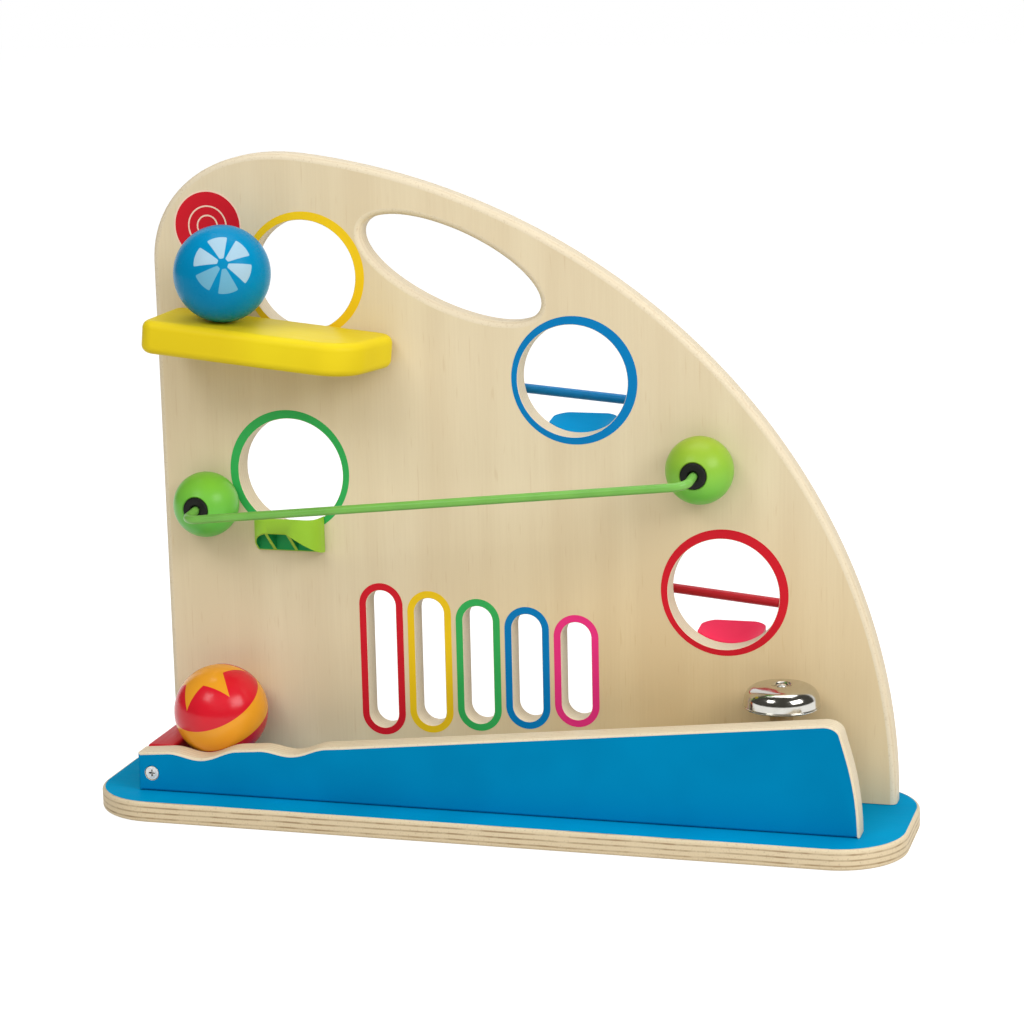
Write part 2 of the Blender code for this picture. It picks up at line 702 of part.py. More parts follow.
def build_scoop(shop, colour, panel_drills):
    face = RAILS[colour][0]
    x, z = HOLES[colour][0], HOLES[colour][1] - HOLE_RADIUS
    up = 1 if face == "front" else -1  # which way local Y points on this face
    name = colour + "_scoop"
    mesh = side_plate(name, scoop_section(), SCOOP_WIDTH)
    scoop = shop.add(name, mesh, colour + "_plastic")
    tools = [side_plate(name + "_rib", rib_section(), SCOOP_RIB) for _ in SCOOP_RIBS]
    for tool, across in zip(tools, SCOOP_RIBS):
        tool.transform(Matrix.Translation((across * MM, 0, 0)))
    for across in (-PEG_SPREAD, PEG_SPREAD):
        peg = cylinder_mesh(name + "_peg", PEG_RADIUS, PEG_LENGTH + SCOOP_WALL / 2)
        peg.transform(Matrix.Translation((across, PEG_HEIGHT, -PEG_LENGTH)))
        tools.append(peg)
        spot = (x + across, z + PEG_HEIGHT)
        drill(shop, panel_drills, name + "_peg_hole", PEG_RADIUS, PEG_LENGTH, face, spot)
    for tool in tools:
        tool.transform(Matrix.Scale(up, 4, (0, 1, 0)))
        if up < 0:
            tool.flip_normals()
        cutter = shop.add_cutter(tool.name, tool)
        stand_on_panel(cutter, face, (x, z))
        cut(scoop, cutter, "UNION")
    if up < 0:
        mesh.transform(Matrix.Scale(-1, 4, (0, 1, 0)))
        mesh.flip_normals()
    half = SCOOP_WIDTH / 2
    ends = [(-half, -PEG_LENGTH - MM, 0), (half, -PEG_LENGTH - MM, 0)]
    tips = [(half, SCOOP_REACH, SCOOP_CORNER), (-half, SCOOP_REACH, SCOOP_CORNER)]
    plan = plate_mesh(name + "_plan", [round_corners(ends + tips, CORNER_FACETS // 2)], 2 * SCOOP_WIDTH)
    plan.transform(Matrix.Rotation(math.pi / 2, 4, "X"))
    trim = shop.add_cutter(name + "_plan", plan)
    stand_on_panel(trim, face, (x, z))
    cut(scoop, trim, "INTERSECT")
    stand_on_panel(scoop, face, (x, z))
    return scoop


# Bell


def bell_profile():
    """A shallow cup, open below: outer skin from the bore down to the rim, then back up inside."""
    centre_r = BELL_RADIUS - BELL_SHOULDER
    centre_z = BELL_HEIGHT - BELL_SHOULDER_FALL - BELL_SHOULDER
    hollow = BELL_SHOULDER - BELL_WALL
    outer = [(BELL_BORE, BELL_HEIGHT), (BELL_CROWN, BELL_HEIGHT - BELL_CROWN_FALL)]
    inner = []
    count = CORNER_FACETS // 2
    for i in range(count + 1):
        angle = BELL_SHOULDER_START + (math.pi / 2 - BELL_SHOULDER_START) * i / count
        r, z = math.sin(angle), math.cos(angle)
        outer.append((centre_r + BELL_SHOULDER * r, centre_z + BELL_SHOULDER * z))
        inner.append((centre_r + hollow * r, centre_z + hollow * z))
    rim = [(BELL_RADIUS, 0), (BELL_RADIUS - BELL_WALL, 0)]
    top_inside = BELL_HEIGHT - BELL_WALL
    crown = [(BELL_CROWN, top_inside - BELL_CROWN_FALL), (BELL_BORE, top_inside)]
    return outer + rim + inner[::-1] + crown


def build_bell(shop, base_drills):
    x, y = BELL_AT
    skin = turned_mesh("bell_dome", bell_profile(), closed=True)
    dome = spin(shop.add("bell_dome", skin, "chrome"), BELL_FACETS)
    dome.location = (x, y, BELL_RIM)
    post_top = BELL_RIM + BELL_HEIGHT - BELL_WALL - 2 * GAP - WASHER_THICKNESS
    hole = SCREW_SHANK + GAP
    hole_end = post_top - BELL_SCREW_DEPTH - GAP
    pilot_end = SCREW_SINK + SCREW_LENGTH + GAP
    profile = [
        (0, hole_end),
        (hole, hole_end),
        (hole, post_top),
        (POST_RADIUS, post_top),
        (POST_RADIUS, FLOOR),
        (hole, FLOOR),
        (hole, pilot_end),
        (0, pilot_end),
    ]
    post = spin(shop.add("bell_post", turned_mesh("bell_post", profile), "beech"), SMALL_FACETS)
    post.location = (x, y, 0)
    low = post_top + GAP
    high = low + WASHER_THICKNESS
    ring = [(BELL_BORE, high), (POST_RADIUS, high), (POST_RADIUS, low), (BELL_BORE, low)]
    disc = turned_mesh("bell_washer", ring, closed=True)
    washer = spin(shop.add("bell_washer", disc, "felt"), SMALL_FACETS)
    washer.location = (x, y, 0)
    seat = BELL_RIM + BELL_HEIGHT + GAP
    tip = post_top - BELL_SCREW_DEPTH
    head = [(r * MM, seat + z * MM) for r, z in BELL_SCREW_HEAD]
    shank = [(SCREW_SHANK, seat), (SCREW_SHANK, tip), (0, tip)]
    screw = spin(shop.add("bell_screw", turned_mesh("bell_screw", head + shank), "zinc"), SMALL_FACETS)
    screw.location = (x, y, 0)
    base_screw(shop, "bell_post_screw", x, y, base_drills)


# Screws


def screw_profile(spare=0.0, over=0.0):
    """A countersunk screw, head up: its flat top at zero and its tip below."""
    shank = SCREW_SHANK + spare
    head = SCREW_HEAD + spare
    blunt, taper = SCREW_TIP
    neck = -(SCREW_HEAD - SCREW_SHANK) - SCREW_BRIM
    top = [(0, over), (head, over), (head, -SCREW_BRIM)]
    tip = -SCREW_LENGTH - spare
    return top + [(shank, neck), (shank, tip + taper), (blunt + spare, tip), (0, tip)]


def base_screw(shop, name, x, y, group):
    """A screw driven up through the base, with its head sunk below the underside."""
    screw = spin(shop.add(name, turned_mesh(name, screw_profile()), "zinc"), SMALL_FACETS)
    hole = turned_mesh(name + "_hole", screw_profile(GAP, SCREW_SINK + MM))
    cutter = spin(shop.add_cutter(name + "_hole", hole, group), SMALL_FACETS)
    for obj in (screw, cutter):
        obj.location = (x, y, SCREW_SINK)
        obj.rotation_euler = (math.pi, 0, 0)


def build_fence_screw(shop, fence, stop):
    x, z = FENCE_SCREW_AT
    name = "fence_screw"
    screw = spin(shop.add(name, turned_mesh(name, screw_profile()), "zinc"), SMALL_FACETS)
    hole = turned_mesh(name + "_hole", screw_profile(GAP, 2 * MM))
    cutter = spin(shop.add_cutter(name + "_hole", hole), SMALL_FACETS)
    for obj in (screw, cutter):
        obj.location = (x, FENCE_FRONT + FENCE_SCREW_SINK, z)
        obj.rotation_euler = (math.pi / 2, 0, 0)
    cut(fence, cutter)
    cut(stop, cutter)
    long, thin, deep = RECESS
    for tag, (wide, tall) in (("flat", (long, thin)), ("upright", (thin, long))):
        slot = box_mesh(name + "_slot", (-wide, -tall, -deep), (wide, tall, deep))
        key = shop.add_cutter(f"{name}_{tag}", slot)
        key.location = screw.location
        key.rotation_euler = screw.rotation_euler
        cut(screw, key)


# Balls


def ball_mesh(name):
    shape = bmesh.new()
    around, rows = BALL_FACETS
    bmesh.ops.create_uvsphere(shape, u_segments=around, v_segments=rows, radius=BALL_RADIUS)
    mesh = bpy.data.meshes.new(name)
    shape.to_mesh(mesh)
    shape.free()
    mesh.shade_smooth()
    return mesh


def build_balls(shop):
    stand = BALL_RADIUS + GAP
    blue = shop.add("blue_ball", ball_mesh("blue_ball"), "blue_paint")
    blue.location = (
        BLUE_BALL_X + stand * math.sin(SHELF_TILT),
        PANEL_FRONT - BALL_RADIUS - BLUE_BALL_OFF,
        SHELF_TOP_AT_BALL + stand * math.cos(SHELF_TILT),
    )
    leaning = PANEL_FRONT - stand
    edge_y = FENCE_BACK - FENCE_EDGE_ROUND
    edge_z = fence_top(RED_BALL_X) - FENCE_EDGE_ROUND
    lift = math.sqrt((stand + FENCE_EDGE_ROUND) ** 2 - (leaning - edge_y) ** 2)
    red = shop.add("red_ball", ball_mesh("red_ball"), "red_paint")
    red.location = (RED_BALL_X, leaning, edge_z + lift)


def main():
    clear_scene()
    shop = Shop()
    panel_drills = shop.cutter_group("panel_drills")
    base_drills = shop.cutter_group("base_drills")
    base = build_base(shop)
    panel = build_panel(shop)
    fence = build_fence(shop)
    stop = build_stop(shop)
    build_shelf(shop, panel_drills)
    for colour in RAILS:
        build_rail(shop, colour, panel_drills)
        build_scoop(shop, colour, panel_drills)
    build_bell(shop, base_drills)
    build_fence_screw(shop, fence, stop)
    for i, x in enumerate(PANEL_SCREWS):
        base_screw(shop, f"panel_screw_{i + 1}", x, (PANEL_FRONT + PANEL_BACK) / 2, base_drills)
    for i, x in enumerate(FENCE_SCREWS):
        base_screw(shop, f"fence_foot_screw_{i + 1}", x, (FENCE_FRONT + FENCE_BACK) / 2, base_drills)
    base_screw(shop, "stop_screw", FENCE_LEFT + STOP_WIDTH / 2, 0.0, base_drills)
    build_balls(shop)
    below = (-BASE_LENGTH, -BASE_DEPTH, -BASE_DEPTH)
    saw = shop.add_cutter("floor_saw", box_mesh("floor_saw", below, (BASE_LENGTH, BASE_DEPTH, FLOOR)))
    for obj in (panel, fence):
        cut(obj, saw)
    cut(panel, panel_drills)
    for obj in (base, panel, fence, stop):
        cut(obj, base_drills)


main()
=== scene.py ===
"""Looks of a wooden marble run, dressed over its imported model.

Sizes are in millimetres in the part's own frame: X runs along the base towards the
bell, Y from the front to the back, and Z up from the table.
"""

import logging
from collections.abc import Iterable, Sequence
from dataclasses import dataclass, replace
from enum import Enum
from math import acos, asin, cos, pi, radians, sin, sqrt, tan

import bmesh
import bpy
from bmesh.types import BMEdge, BMesh, BMFace, BMVert
from bpy.types import Material, Node, NodeSocket, NodeTree, Object, World
from mathutils import Matrix, Vector
from mathutils.geometry import interpolate_bezier


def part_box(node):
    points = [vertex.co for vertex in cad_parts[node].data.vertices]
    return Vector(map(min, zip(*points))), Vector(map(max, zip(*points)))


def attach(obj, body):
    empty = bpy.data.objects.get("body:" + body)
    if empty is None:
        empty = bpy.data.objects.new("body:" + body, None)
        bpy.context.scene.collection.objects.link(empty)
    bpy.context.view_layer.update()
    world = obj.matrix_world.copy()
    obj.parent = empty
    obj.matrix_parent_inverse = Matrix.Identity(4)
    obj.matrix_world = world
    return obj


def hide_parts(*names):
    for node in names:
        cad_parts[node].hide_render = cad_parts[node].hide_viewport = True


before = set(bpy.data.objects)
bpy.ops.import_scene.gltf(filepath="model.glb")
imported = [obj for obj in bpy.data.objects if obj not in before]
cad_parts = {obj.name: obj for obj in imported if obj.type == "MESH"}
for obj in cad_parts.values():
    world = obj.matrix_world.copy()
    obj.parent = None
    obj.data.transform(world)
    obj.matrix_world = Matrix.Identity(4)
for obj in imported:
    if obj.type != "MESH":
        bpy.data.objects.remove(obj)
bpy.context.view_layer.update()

log = logging.getLogger("marble_run")
MM = 0.001
MERGE = 1e-4  # points closer than this, in millimetres, are one
ON_PLANE = 1e-5  # a point closer than this to a plane lies on it
LEVEL = 0.999  # a flat face's normal along its axis is above this
ALIKE = 0.99  # two directions whose product is above this are alike
SAW_ROOM = 6.0  # how far a board is drawn below the height that its foot is sawn at
NOISE_LOW, NOISE_HIGH = 0.3, 0.7  # the range that noise seldom leaves
Pair = tuple[float, float]
Triple = tuple[float, float, float]
Sockets = dict[str | int, object]


class Body(Enum):
    """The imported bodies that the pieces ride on."""

    STAND = "stand"
    BLUE_BALL = "blue_ball"
    RED_BALL = "red_ball"
    BELL = "bell"


class Face(Enum):
    """The two faces of the upright panel, each with its Y."""

    FRONT = 20.0
    BACK = 32.0

    def place(self, x: float, z: float, out: float = 0.0) -> Matrix:
        """Gives the place of a piece that is drawn with +Z out of the face and +Y up.

        Args:
            x: Where it stands along the panel.
            z: Its height.
            out: How far it stands off the face.

        Returns:
            The matrix that puts it there.
        """
        turn = Matrix.Rotation(0.0 if self is Face.FRONT else pi, 4, "Z")
        upright = turn @ Matrix.Rotation(pi / 2, 4, "X")
        return Matrix.Translation((x, self.value, z)) @ upright @ Matrix.Translation((0, 0, out))


class Round(Enum):
    """What a bevel rounds, by the operator's own word for it."""

    EDGES = "EDGES"
    CORNERS = "VERTICES"


# Colours and nodes


def linear(code: str) -> tuple[float, float, float, float]:
    """Turns an sRGB hex colour into linear RGBA.

    Args:
        code: The colour, such as "#e0cfae".

    Returns:
        Its linear red, green, blue and an alpha of one.
    """
    parts = [int(code[i : i + 2], 16) / 255 for i in (1, 3, 5)]
    red, green, blue = (c / 12.92 if c <= 0.04045 else ((c + 0.055) / 1.055) ** 2.4 for c in parts)
    return red, green, blue, 1.0


def add_node(tree: NodeTree, kind: str, inputs: Sockets | None = None, **settings: object) -> Node:
    """Adds a node with its settings, values and links.

    Args:
        tree: Where it goes.
        kind: The node's type.
        inputs: A value or an output socket for each input, by name or number.
        settings: The node's own properties.

    Returns:
        The node.
    """
    node = tree.nodes.new(kind)
    for name, value in settings.items():
        setattr(node, name, value)
    for key, value in (inputs or {}).items():
        if isinstance(value, NodeSocket):
            tree.links.new(value, node.inputs[key])
        else:
            node.inputs[key].default_value = value
    return node


def empty_tree(owner: Material | World) -> NodeTree:
    """Gives a new material or world its nodes, cleared.

    Args:
        owner: What the nodes belong to.

    Returns:
        The tree, with no node in it.
    """
    owner.use_nodes = True
    owner.node_tree.nodes.clear()
    return owner.node_tree


def patches(tree: NodeTree, at: NodeSocket, size: Triple, detail: float = 2.0) -> NodeSocket:
    """Draws soft random patches of a real size.

    Args:
        tree: The material's nodes.
        at: Object coordinates, in metres.
        size: How long a patch is along X, Y and Z, in millimetres.
        detail: How many finer layers it has.

    Returns:
        A value round 0.5.
    """
    scale = [1 / (length * MM) for length in size]
    place = add_node(tree, "ShaderNodeMapping", {"Vector": at, "Scale": scale})
    inputs = {"Vector": place.outputs[0], "Scale": 1.0, "Detail": detail}
    return add_node(tree, "ShaderNodeTexNoise", inputs).outputs[0]


# Finishes


@dataclass(frozen=True)
class Finish:
    """A real surface: its name, the record's slot it belongs to, and its gloss."""

    name: str
    slot: str
    roughness: float = 0.45
    shine: float = 0.2

    def shade(self, tree: NodeTree, at: NodeSocket) -> Sockets:
        """Draws the surface's pattern, and gives what goes into each socket of the shader."""
        raise NotImplementedError

    def material(self) -> Material:
        """Gives the finish's material, made when it is first asked for.

        Returns:
            The material, which has the finish's name.
        """
        found = bpy.data.materials.get(self.name)
        if found:
            return found
        made = bpy.data.materials.new(self.name)
        tree = empty_tree(made)
        at = add_node(tree, "ShaderNodeTexCoord").outputs["Object"]
        shader = add_node(tree, "ShaderNodeBsdfPrincipled", self.shade(tree, at))
        add_node(tree, "ShaderNodeOutputMaterial", {"Surface": shader.outputs[0]})
        return made


@dataclass(frozen=True)
class Veneer(Finish):
    """Straight-grained wood, cream birch unless it says otherwise: soft bands, fibres and flecks."""

    pale: str = "#e5d6b6"
    dark: str = "#decdac"
    mark: str = "#cdb389"
    band: Triple = (17.0, 17.0, 210.0)
    band_share: float = 0.7
    fibre: Triple = (1.0, 1.0, 38.0)
    fibre_share: float = 0.26
    tones: Pair = (0.36, 0.62)
    fleck: Triple = (1.1, 1.1, 13.0)
    fleck_limits: Pair = (0.72, 0.84)
    fleck_depth: float = 0.3
    # A painted warm shade: a tint that multiplies the colour round one point, for warm bounced light and
    # shade
    painted_warm_shade: str = "#ffffff"
    painted_warm_shade_at: Triple = (0.0, 0.0, 0.0)
    painted_warm_shade_size: Triple = (100.0, 100.0, 100.0)
    uneven: Pair = (-0.05, 0.06)  # how far the roughness goes down and up
    relief: float = 0.25
    relief_depth: float = 0.05

    def shade(self, tree: NodeTree, at: NodeSocket) -> Sockets:
        """Lays fibres over the broad bands, a dark fleck here and there, and a painted warm shade round
        one point.

        Args:
            tree: The material's nodes.
            at: Object coordinates, in metres.

        Returns:
            What goes into each socket of the shader.
        """
        bands = patches(tree, at, self.band, detail=1.5)
        fibres = patches(tree, at, self.fibre)
        flecks = patches(tree, at, self.fleck, detail=0.0)
        part = add_node(tree, "ShaderNodeMath", {0: bands, 1: self.band_share}, operation="MULTIPLY")
        inputs = {0: fibres, 1: self.fibre_share, 2: part.outputs[0]}
        both = add_node(tree, "ShaderNodeMath", inputs, operation="MULTIPLY_ADD").outputs[0]
        low, high = self.tones
        tone = add_node(tree, "ShaderNodeMapRange", {0: both, 1: low, 2: high})
        wood = {0: tone.outputs[0], 6: linear(self.dark), 7: linear(self.pale)}
        plain = add_node(tree, "ShaderNodeMix", wood, data_type="RGBA")
        low, high = self.fleck_limits
        inputs = {0: flecks, 1: low, 2: high, 3: 0.0, 4: self.fleck_depth}
        spot = add_node(tree, "ShaderNodeMapRange", inputs)
        marked = {0: spot.outputs[0], 6: plain.outputs[2], 7: linear(self.mark)}
        sheet = add_node(tree, "ShaderNodeMix", marked, data_type="RGBA")
        # Painted warm shade: the colour is multiplied by a warm tint that fades out from one point.
        scale = [1 / (length * MM) for length in self.painted_warm_shade_size]
        shift = [-place / length for place, length in zip(self.painted_warm_shade_at, self.painted_warm_shade_size)]
        place = add_node(tree, "ShaderNodeMapping", {"Vector": at, "Location": shift, "Scale": scale})
        inputs = {"Vector": place.outputs[0]}
        near = add_node(tree, "ShaderNodeTexGradient", inputs, gradient_type="SPHERICAL")
        warm = {0: near.outputs[1], 6: sheet.outputs[2], 7: linear(self.painted_warm_shade)}
        colour = add_node(tree, "ShaderNodeMix", warm, data_type="RGBA", blend_type="MULTIPLY")
        low, high = (self.roughness + off for off in self.uneven)
        rough = {0: fibres, 1: NOISE_LOW, 2: NOISE_HIGH, 3: low, 4: high}
        gloss = add_node(tree, "ShaderNodeMapRange", rough)
        height = {"Height": fibres, "Strength": self.relief, "Distance": self.relief_depth * MM}
        bump = add_node(tree, "ShaderNodeBump", height)
        return {
            "Base Color": colour.outputs[2],
            "Roughness": gloss.outputs[0],
            "Normal": bump.outputs[0],
            "Specular IOR Level": self.shine,
        }


@dataclass(frozen=True)
class PlyEdge(Finish):
    """Sawn and sanded edge of birch plywood: pale plies with brown lines of end grain between."""

    through: Triple = (0.0, 1.0, 0.0)
    start: float = 20.0
    pitch: float = 2.4
    line: float = 0.3
    blur: float = 0.06
    pale: str = "#e4d6ba"
    brown: str = "#b89c74"
    depth: float = 0.5
    faint: float = 0.25
    sway: float = 38.0
    sway_share: float = 0.35
    fade: float = 9.0
    fade_limits: Pair = (0.3, 0.65)
    grain: float = 0.9
    speck_limits: Pair = (0.58, 0.75)
    speck_depth: float = 0.3
    relief: float = 0.3
    relief_depth: float = 0.06

    def shade(self, tree: NodeTree, at: NodeSocket) -> Sockets:
        """Stripes the edge through its thickness, with lines that wander and fade.

        Args:
            tree: The material's nodes.
            at: Object coordinates, in metres.

        Returns:
            What goes into each socket of the shader.
        """
        scale = tuple(axis / (self.pitch * MM) for axis in self.through)
        across = add_node(tree, "ShaderNodeVectorMath", {0: at, 1: scale}, operation="DOT_PRODUCT")
        sway = patches(tree, at, (self.sway,) * 3, detail=1.0)
        inputs = {0: sway, 1: self.sway_share, 2: -self.start / self.pitch - self.sway_share / 2}
        shift = add_node(tree, "ShaderNodeMath", inputs, operation="MULTIPLY_ADD")
        inputs = {0: across.outputs[1], 1: shift.outputs[0]}
        place = add_node(tree, "ShaderNodeMath", inputs, operation="ADD")
        wave = add_node(tree, "ShaderNodeMath", {0: place.outputs[0], 1: 0.5}, operation="PINGPONG")
        edge = 0.5 - self.line / 2
        fade = patches(tree, at, (self.fade,) * 3)
        low, high = self.fade_limits
        inputs = {0: fade, 1: low, 2: high, 3: self.faint * self.depth, 4: self.depth}
        weight = add_node(tree, "ShaderNodeMapRange", inputs).outputs[0]
        inputs = {0: wave.outputs[0], 1: edge - self.blur, 2: edge + self.blur, 3: 0.0, 4: weight}
        lines = add_node(tree, "ShaderNodeMapRange", inputs, interpolation_type="SMOOTHSTEP")
        mix = {0: lines.outputs[0], 6: linear(self.pale), 7: linear(self.brown)}
        striped = add_node(tree, "ShaderNodeMix", mix, data_type="RGBA")
        grain = patches(tree, at, (self.grain,) * 3, detail=1.0)
        low, high = self.speck_limits
        inputs = {0: grain, 1: low, 2: high, 3: 0.0, 4: self.speck_depth}
        speck = add_node(tree, "ShaderNodeMapRange", inputs)
        mix = {0: speck.outputs[0], 6: striped.outputs[2], 7: linear(self.brown)}
        colour = add_node(tree, "ShaderNodeMix", mix, data_type="RGBA")
        height = {"Height": grain, "Strength": self.relief, "Distance": self.relief_depth * MM}
        bump = add_node(tree, "ShaderNodeBump", height)
        return {
            "Base Color": colour.outputs[2],
            "Roughness": self.roughness,
            "Normal": bump.outputs[0],
            "Specular IOR Level": self.shine,
        }


@dataclass(frozen=True)
class Coating(Finish):
    """A coloured skin with faint clouds and ripples: paint, print, enamel, plastic, rubber or felt."""

    colour: str = "#ffffff"
    deep: str = "#e0e0e0"
    cloud: float = 45.0
    tones: Pair = (0.3, 0.62)
    grain: Triple = (1.6, 1.6, 1.6)
    uneven: float = 0.05
    ripple: float = 0.01
    relief: float = 0.4

    def pattern(self, tree: NodeTree, at: NodeSocket, cloud: NodeSocket) -> NodeSocket:
        """Clouds the colour with its deeper tone.

        Args:
            tree: The material's nodes.
            at: Object coordinates, in metres.
            cloud: Soft patches round 0.5.

        Returns:
            The colour.
        """
        low, high = self.tones
        tone = add_node(tree, "ShaderNodeMapRange", {0: cloud, 1: low, 2: high})
        mix = {0: tone.outputs[0], 6: linear(self.deep), 7: linear(self.colour)}
        return add_node(tree, "ShaderNodeMix", mix, data_type="RGBA").outputs[2]

    def shade(self, tree: NodeTree, at: NodeSocket) -> Sockets:
        """Gives the skin its clouded colour, uneven gloss and ripples.

        Args:
            tree: The material's nodes.
            at: Object coordinates, in metres.

        Returns:
            What goes into each socket of the shader.
        """
        cloud = patches(tree, at, (self.cloud,) * 3)
        skin = patches(tree, at, self.grain)
        low, high = self.roughness - self.uneven, self.roughness + self.uneven
        rough = {0: skin, 1: NOISE_LOW, 2: NOISE_HIGH, 3: low, 4: high}
        gloss = add_node(tree, "ShaderNodeMapRange", rough)
        height = {"Height": skin, "Strength": self.relief, "Distance": self.ripple * MM}
        bump = add_node(tree, "ShaderNodeBump", height)
        return {
            "Base Color": self.pattern(tree, at, cloud),
            "Roughness": gloss.outputs[0],
            "Normal": bump.outputs[0],
            "Specular IOR Level": self.shine,
        }


@dataclass(frozen=True)
class KnobPaintLitAndShaded(Coating):
    """Gloss paint on a knob, yellower above and greener below: painted light on the lit top and painted
    shade below.
    """

    # the painted shade colour, reached at the knob's lowest point
    low: str = "#ffffff"
    middle: Triple = (0.0, 0.0, 0.0)
    radius: float = 16.0

    def pattern(self, tree: NodeTree, at: NodeSocket, cloud: NodeSocket) -> NodeSocket:
        """Fades the clouded colour into the painted shade colour towards the knob's lowest point.

        Args:
            tree: The material's nodes.
            at: Object coordinates, in metres.
            cloud: Soft patches round 0.5.

        Returns:
            The colour.
        """
        painted_lighting_tone = super().pattern(tree, at, cloud)
        height = add_node(tree, "ShaderNodeSeparateXYZ", {0: at}).outputs["Z"]
        bottom, top = ((self.middle[2] + way * self.radius) * MM for way in (-1, 1))
        share = add_node(tree, "ShaderNodeMapRange", {0: height, 1: bottom, 2: top})
        mix = {0: share.outputs[0], 6: linear(self.low), 7: painted_lighting_tone}
        return add_node(tree, "ShaderNodeMix", mix, data_type="RGBA").outputs[2]


@dataclass(frozen=True)
class PatternedBall(Coating):
    """Gloss paint on a turned ball, with a second colour stencilled round a pole."""

    second: str = "#ffffff"
    middle: Triple = (0.0, 0.0, 0.0)
    pole: Triple = (0.0, 0.0, 1.0)
    first: Triple = (1.0, 0.0, 0.0)
    blur: float = 0.006

    def axes(self) -> tuple[Vector, Vector, Vector]:
        """Gives the stencil's own axes.

        Returns:
            The pole, the way from it to the first repeat, and the way a quarter turn on.
        """
        pole = Vector(self.pole).normalized()
        start = Vector(self.first)
        start = (start - pole * start.dot(pole)).normalized()
        return pole, start, pole.cross(start)

    def polar(self, tree: NodeTree, out: NodeSocket, repeats: int) -> tuple[NodeSocket, NodeSocket]:
        """Measures a direction from the pole.

        Args:
            tree: The material's nodes.
            out: The direction from the ball's middle.
            repeats: How many times the stencil repeats round the pole.

        Returns:
            The angle from the pole, and the angle round it folded into half a repeat.
        """
        rise, along, across = (
            add_node(tree, "ShaderNodeVectorMath", {0: out, 1: axis}, operation="DOT_PRODUCT").outputs[1]
            for axis in self.axes()
        )
        away = add_node(tree, "ShaderNodeMath", {0: rise}, operation="ARCCOSINE").outputs[0]
        around = add_node(tree, "ShaderNodeMath", {0: across, 1: along}, operation="ARCTAN2").outputs[0]
        inputs = {0: around, 1: pi / repeats}
        fold = add_node(tree, "ShaderNodeMath", inputs, operation="PINGPONG").outputs[0]
        return away, fold

    def outward(self, tree: NodeTree, at: NodeSocket) -> NodeSocket:
        """Gives the direction from the ball's middle to the surface.

        Args:
            tree: The material's nodes.
            at: Object coordinates, in metres.

        Returns:
            The direction, of length one.
        """
        middle = [value * MM for value in self.middle]
        away = add_node(tree, "ShaderNodeVectorMath", {0: at, 1: middle}, operation="SUBTRACT")
        inputs = {0: away.outputs[0]}
        return add_node(tree, "ShaderNodeVectorMath", inputs, operation="NORMALIZE").outputs[0]

    def inside(self, tree: NodeTree, out: NodeSocket) -> NodeSocket:
        """Gives about the angle to the stencil's edge, in radians, above zero inside."""
        raise NotImplementedError

    def ink(self, tree: NodeTree, out: NodeSocket) -> NodeSocket | Sequence[float]:
        """Gives the second colour."""
        return linear(self.second)

    def pattern(self, tree: NodeTree, at: NodeSocket, cloud: NodeSocket) -> NodeSocket:
        """Lays the second colour where the stencil is open.

        Args:
            tree: The material's nodes.
            at: Object coordinates, in metres.
            cloud: Soft patches round 0.5.

        Returns:
            The colour.
        """
        ground = super().pattern(tree, at, cloud)
        out = self.outward(tree, at)
        inputs = {0: self.inside(tree, out), 1: -self.blur, 2: self.blur}
        mask = add_node(tree, "ShaderNodeMapRange", inputs, interpolation_type="SMOOTHSTEP")
        mix = {0: mask.outputs[0], 6: ground, 7: self.ink(tree, out)}
        return add_node(tree, "ShaderNodeMix", mix, data_type="RGBA").outputs[2]


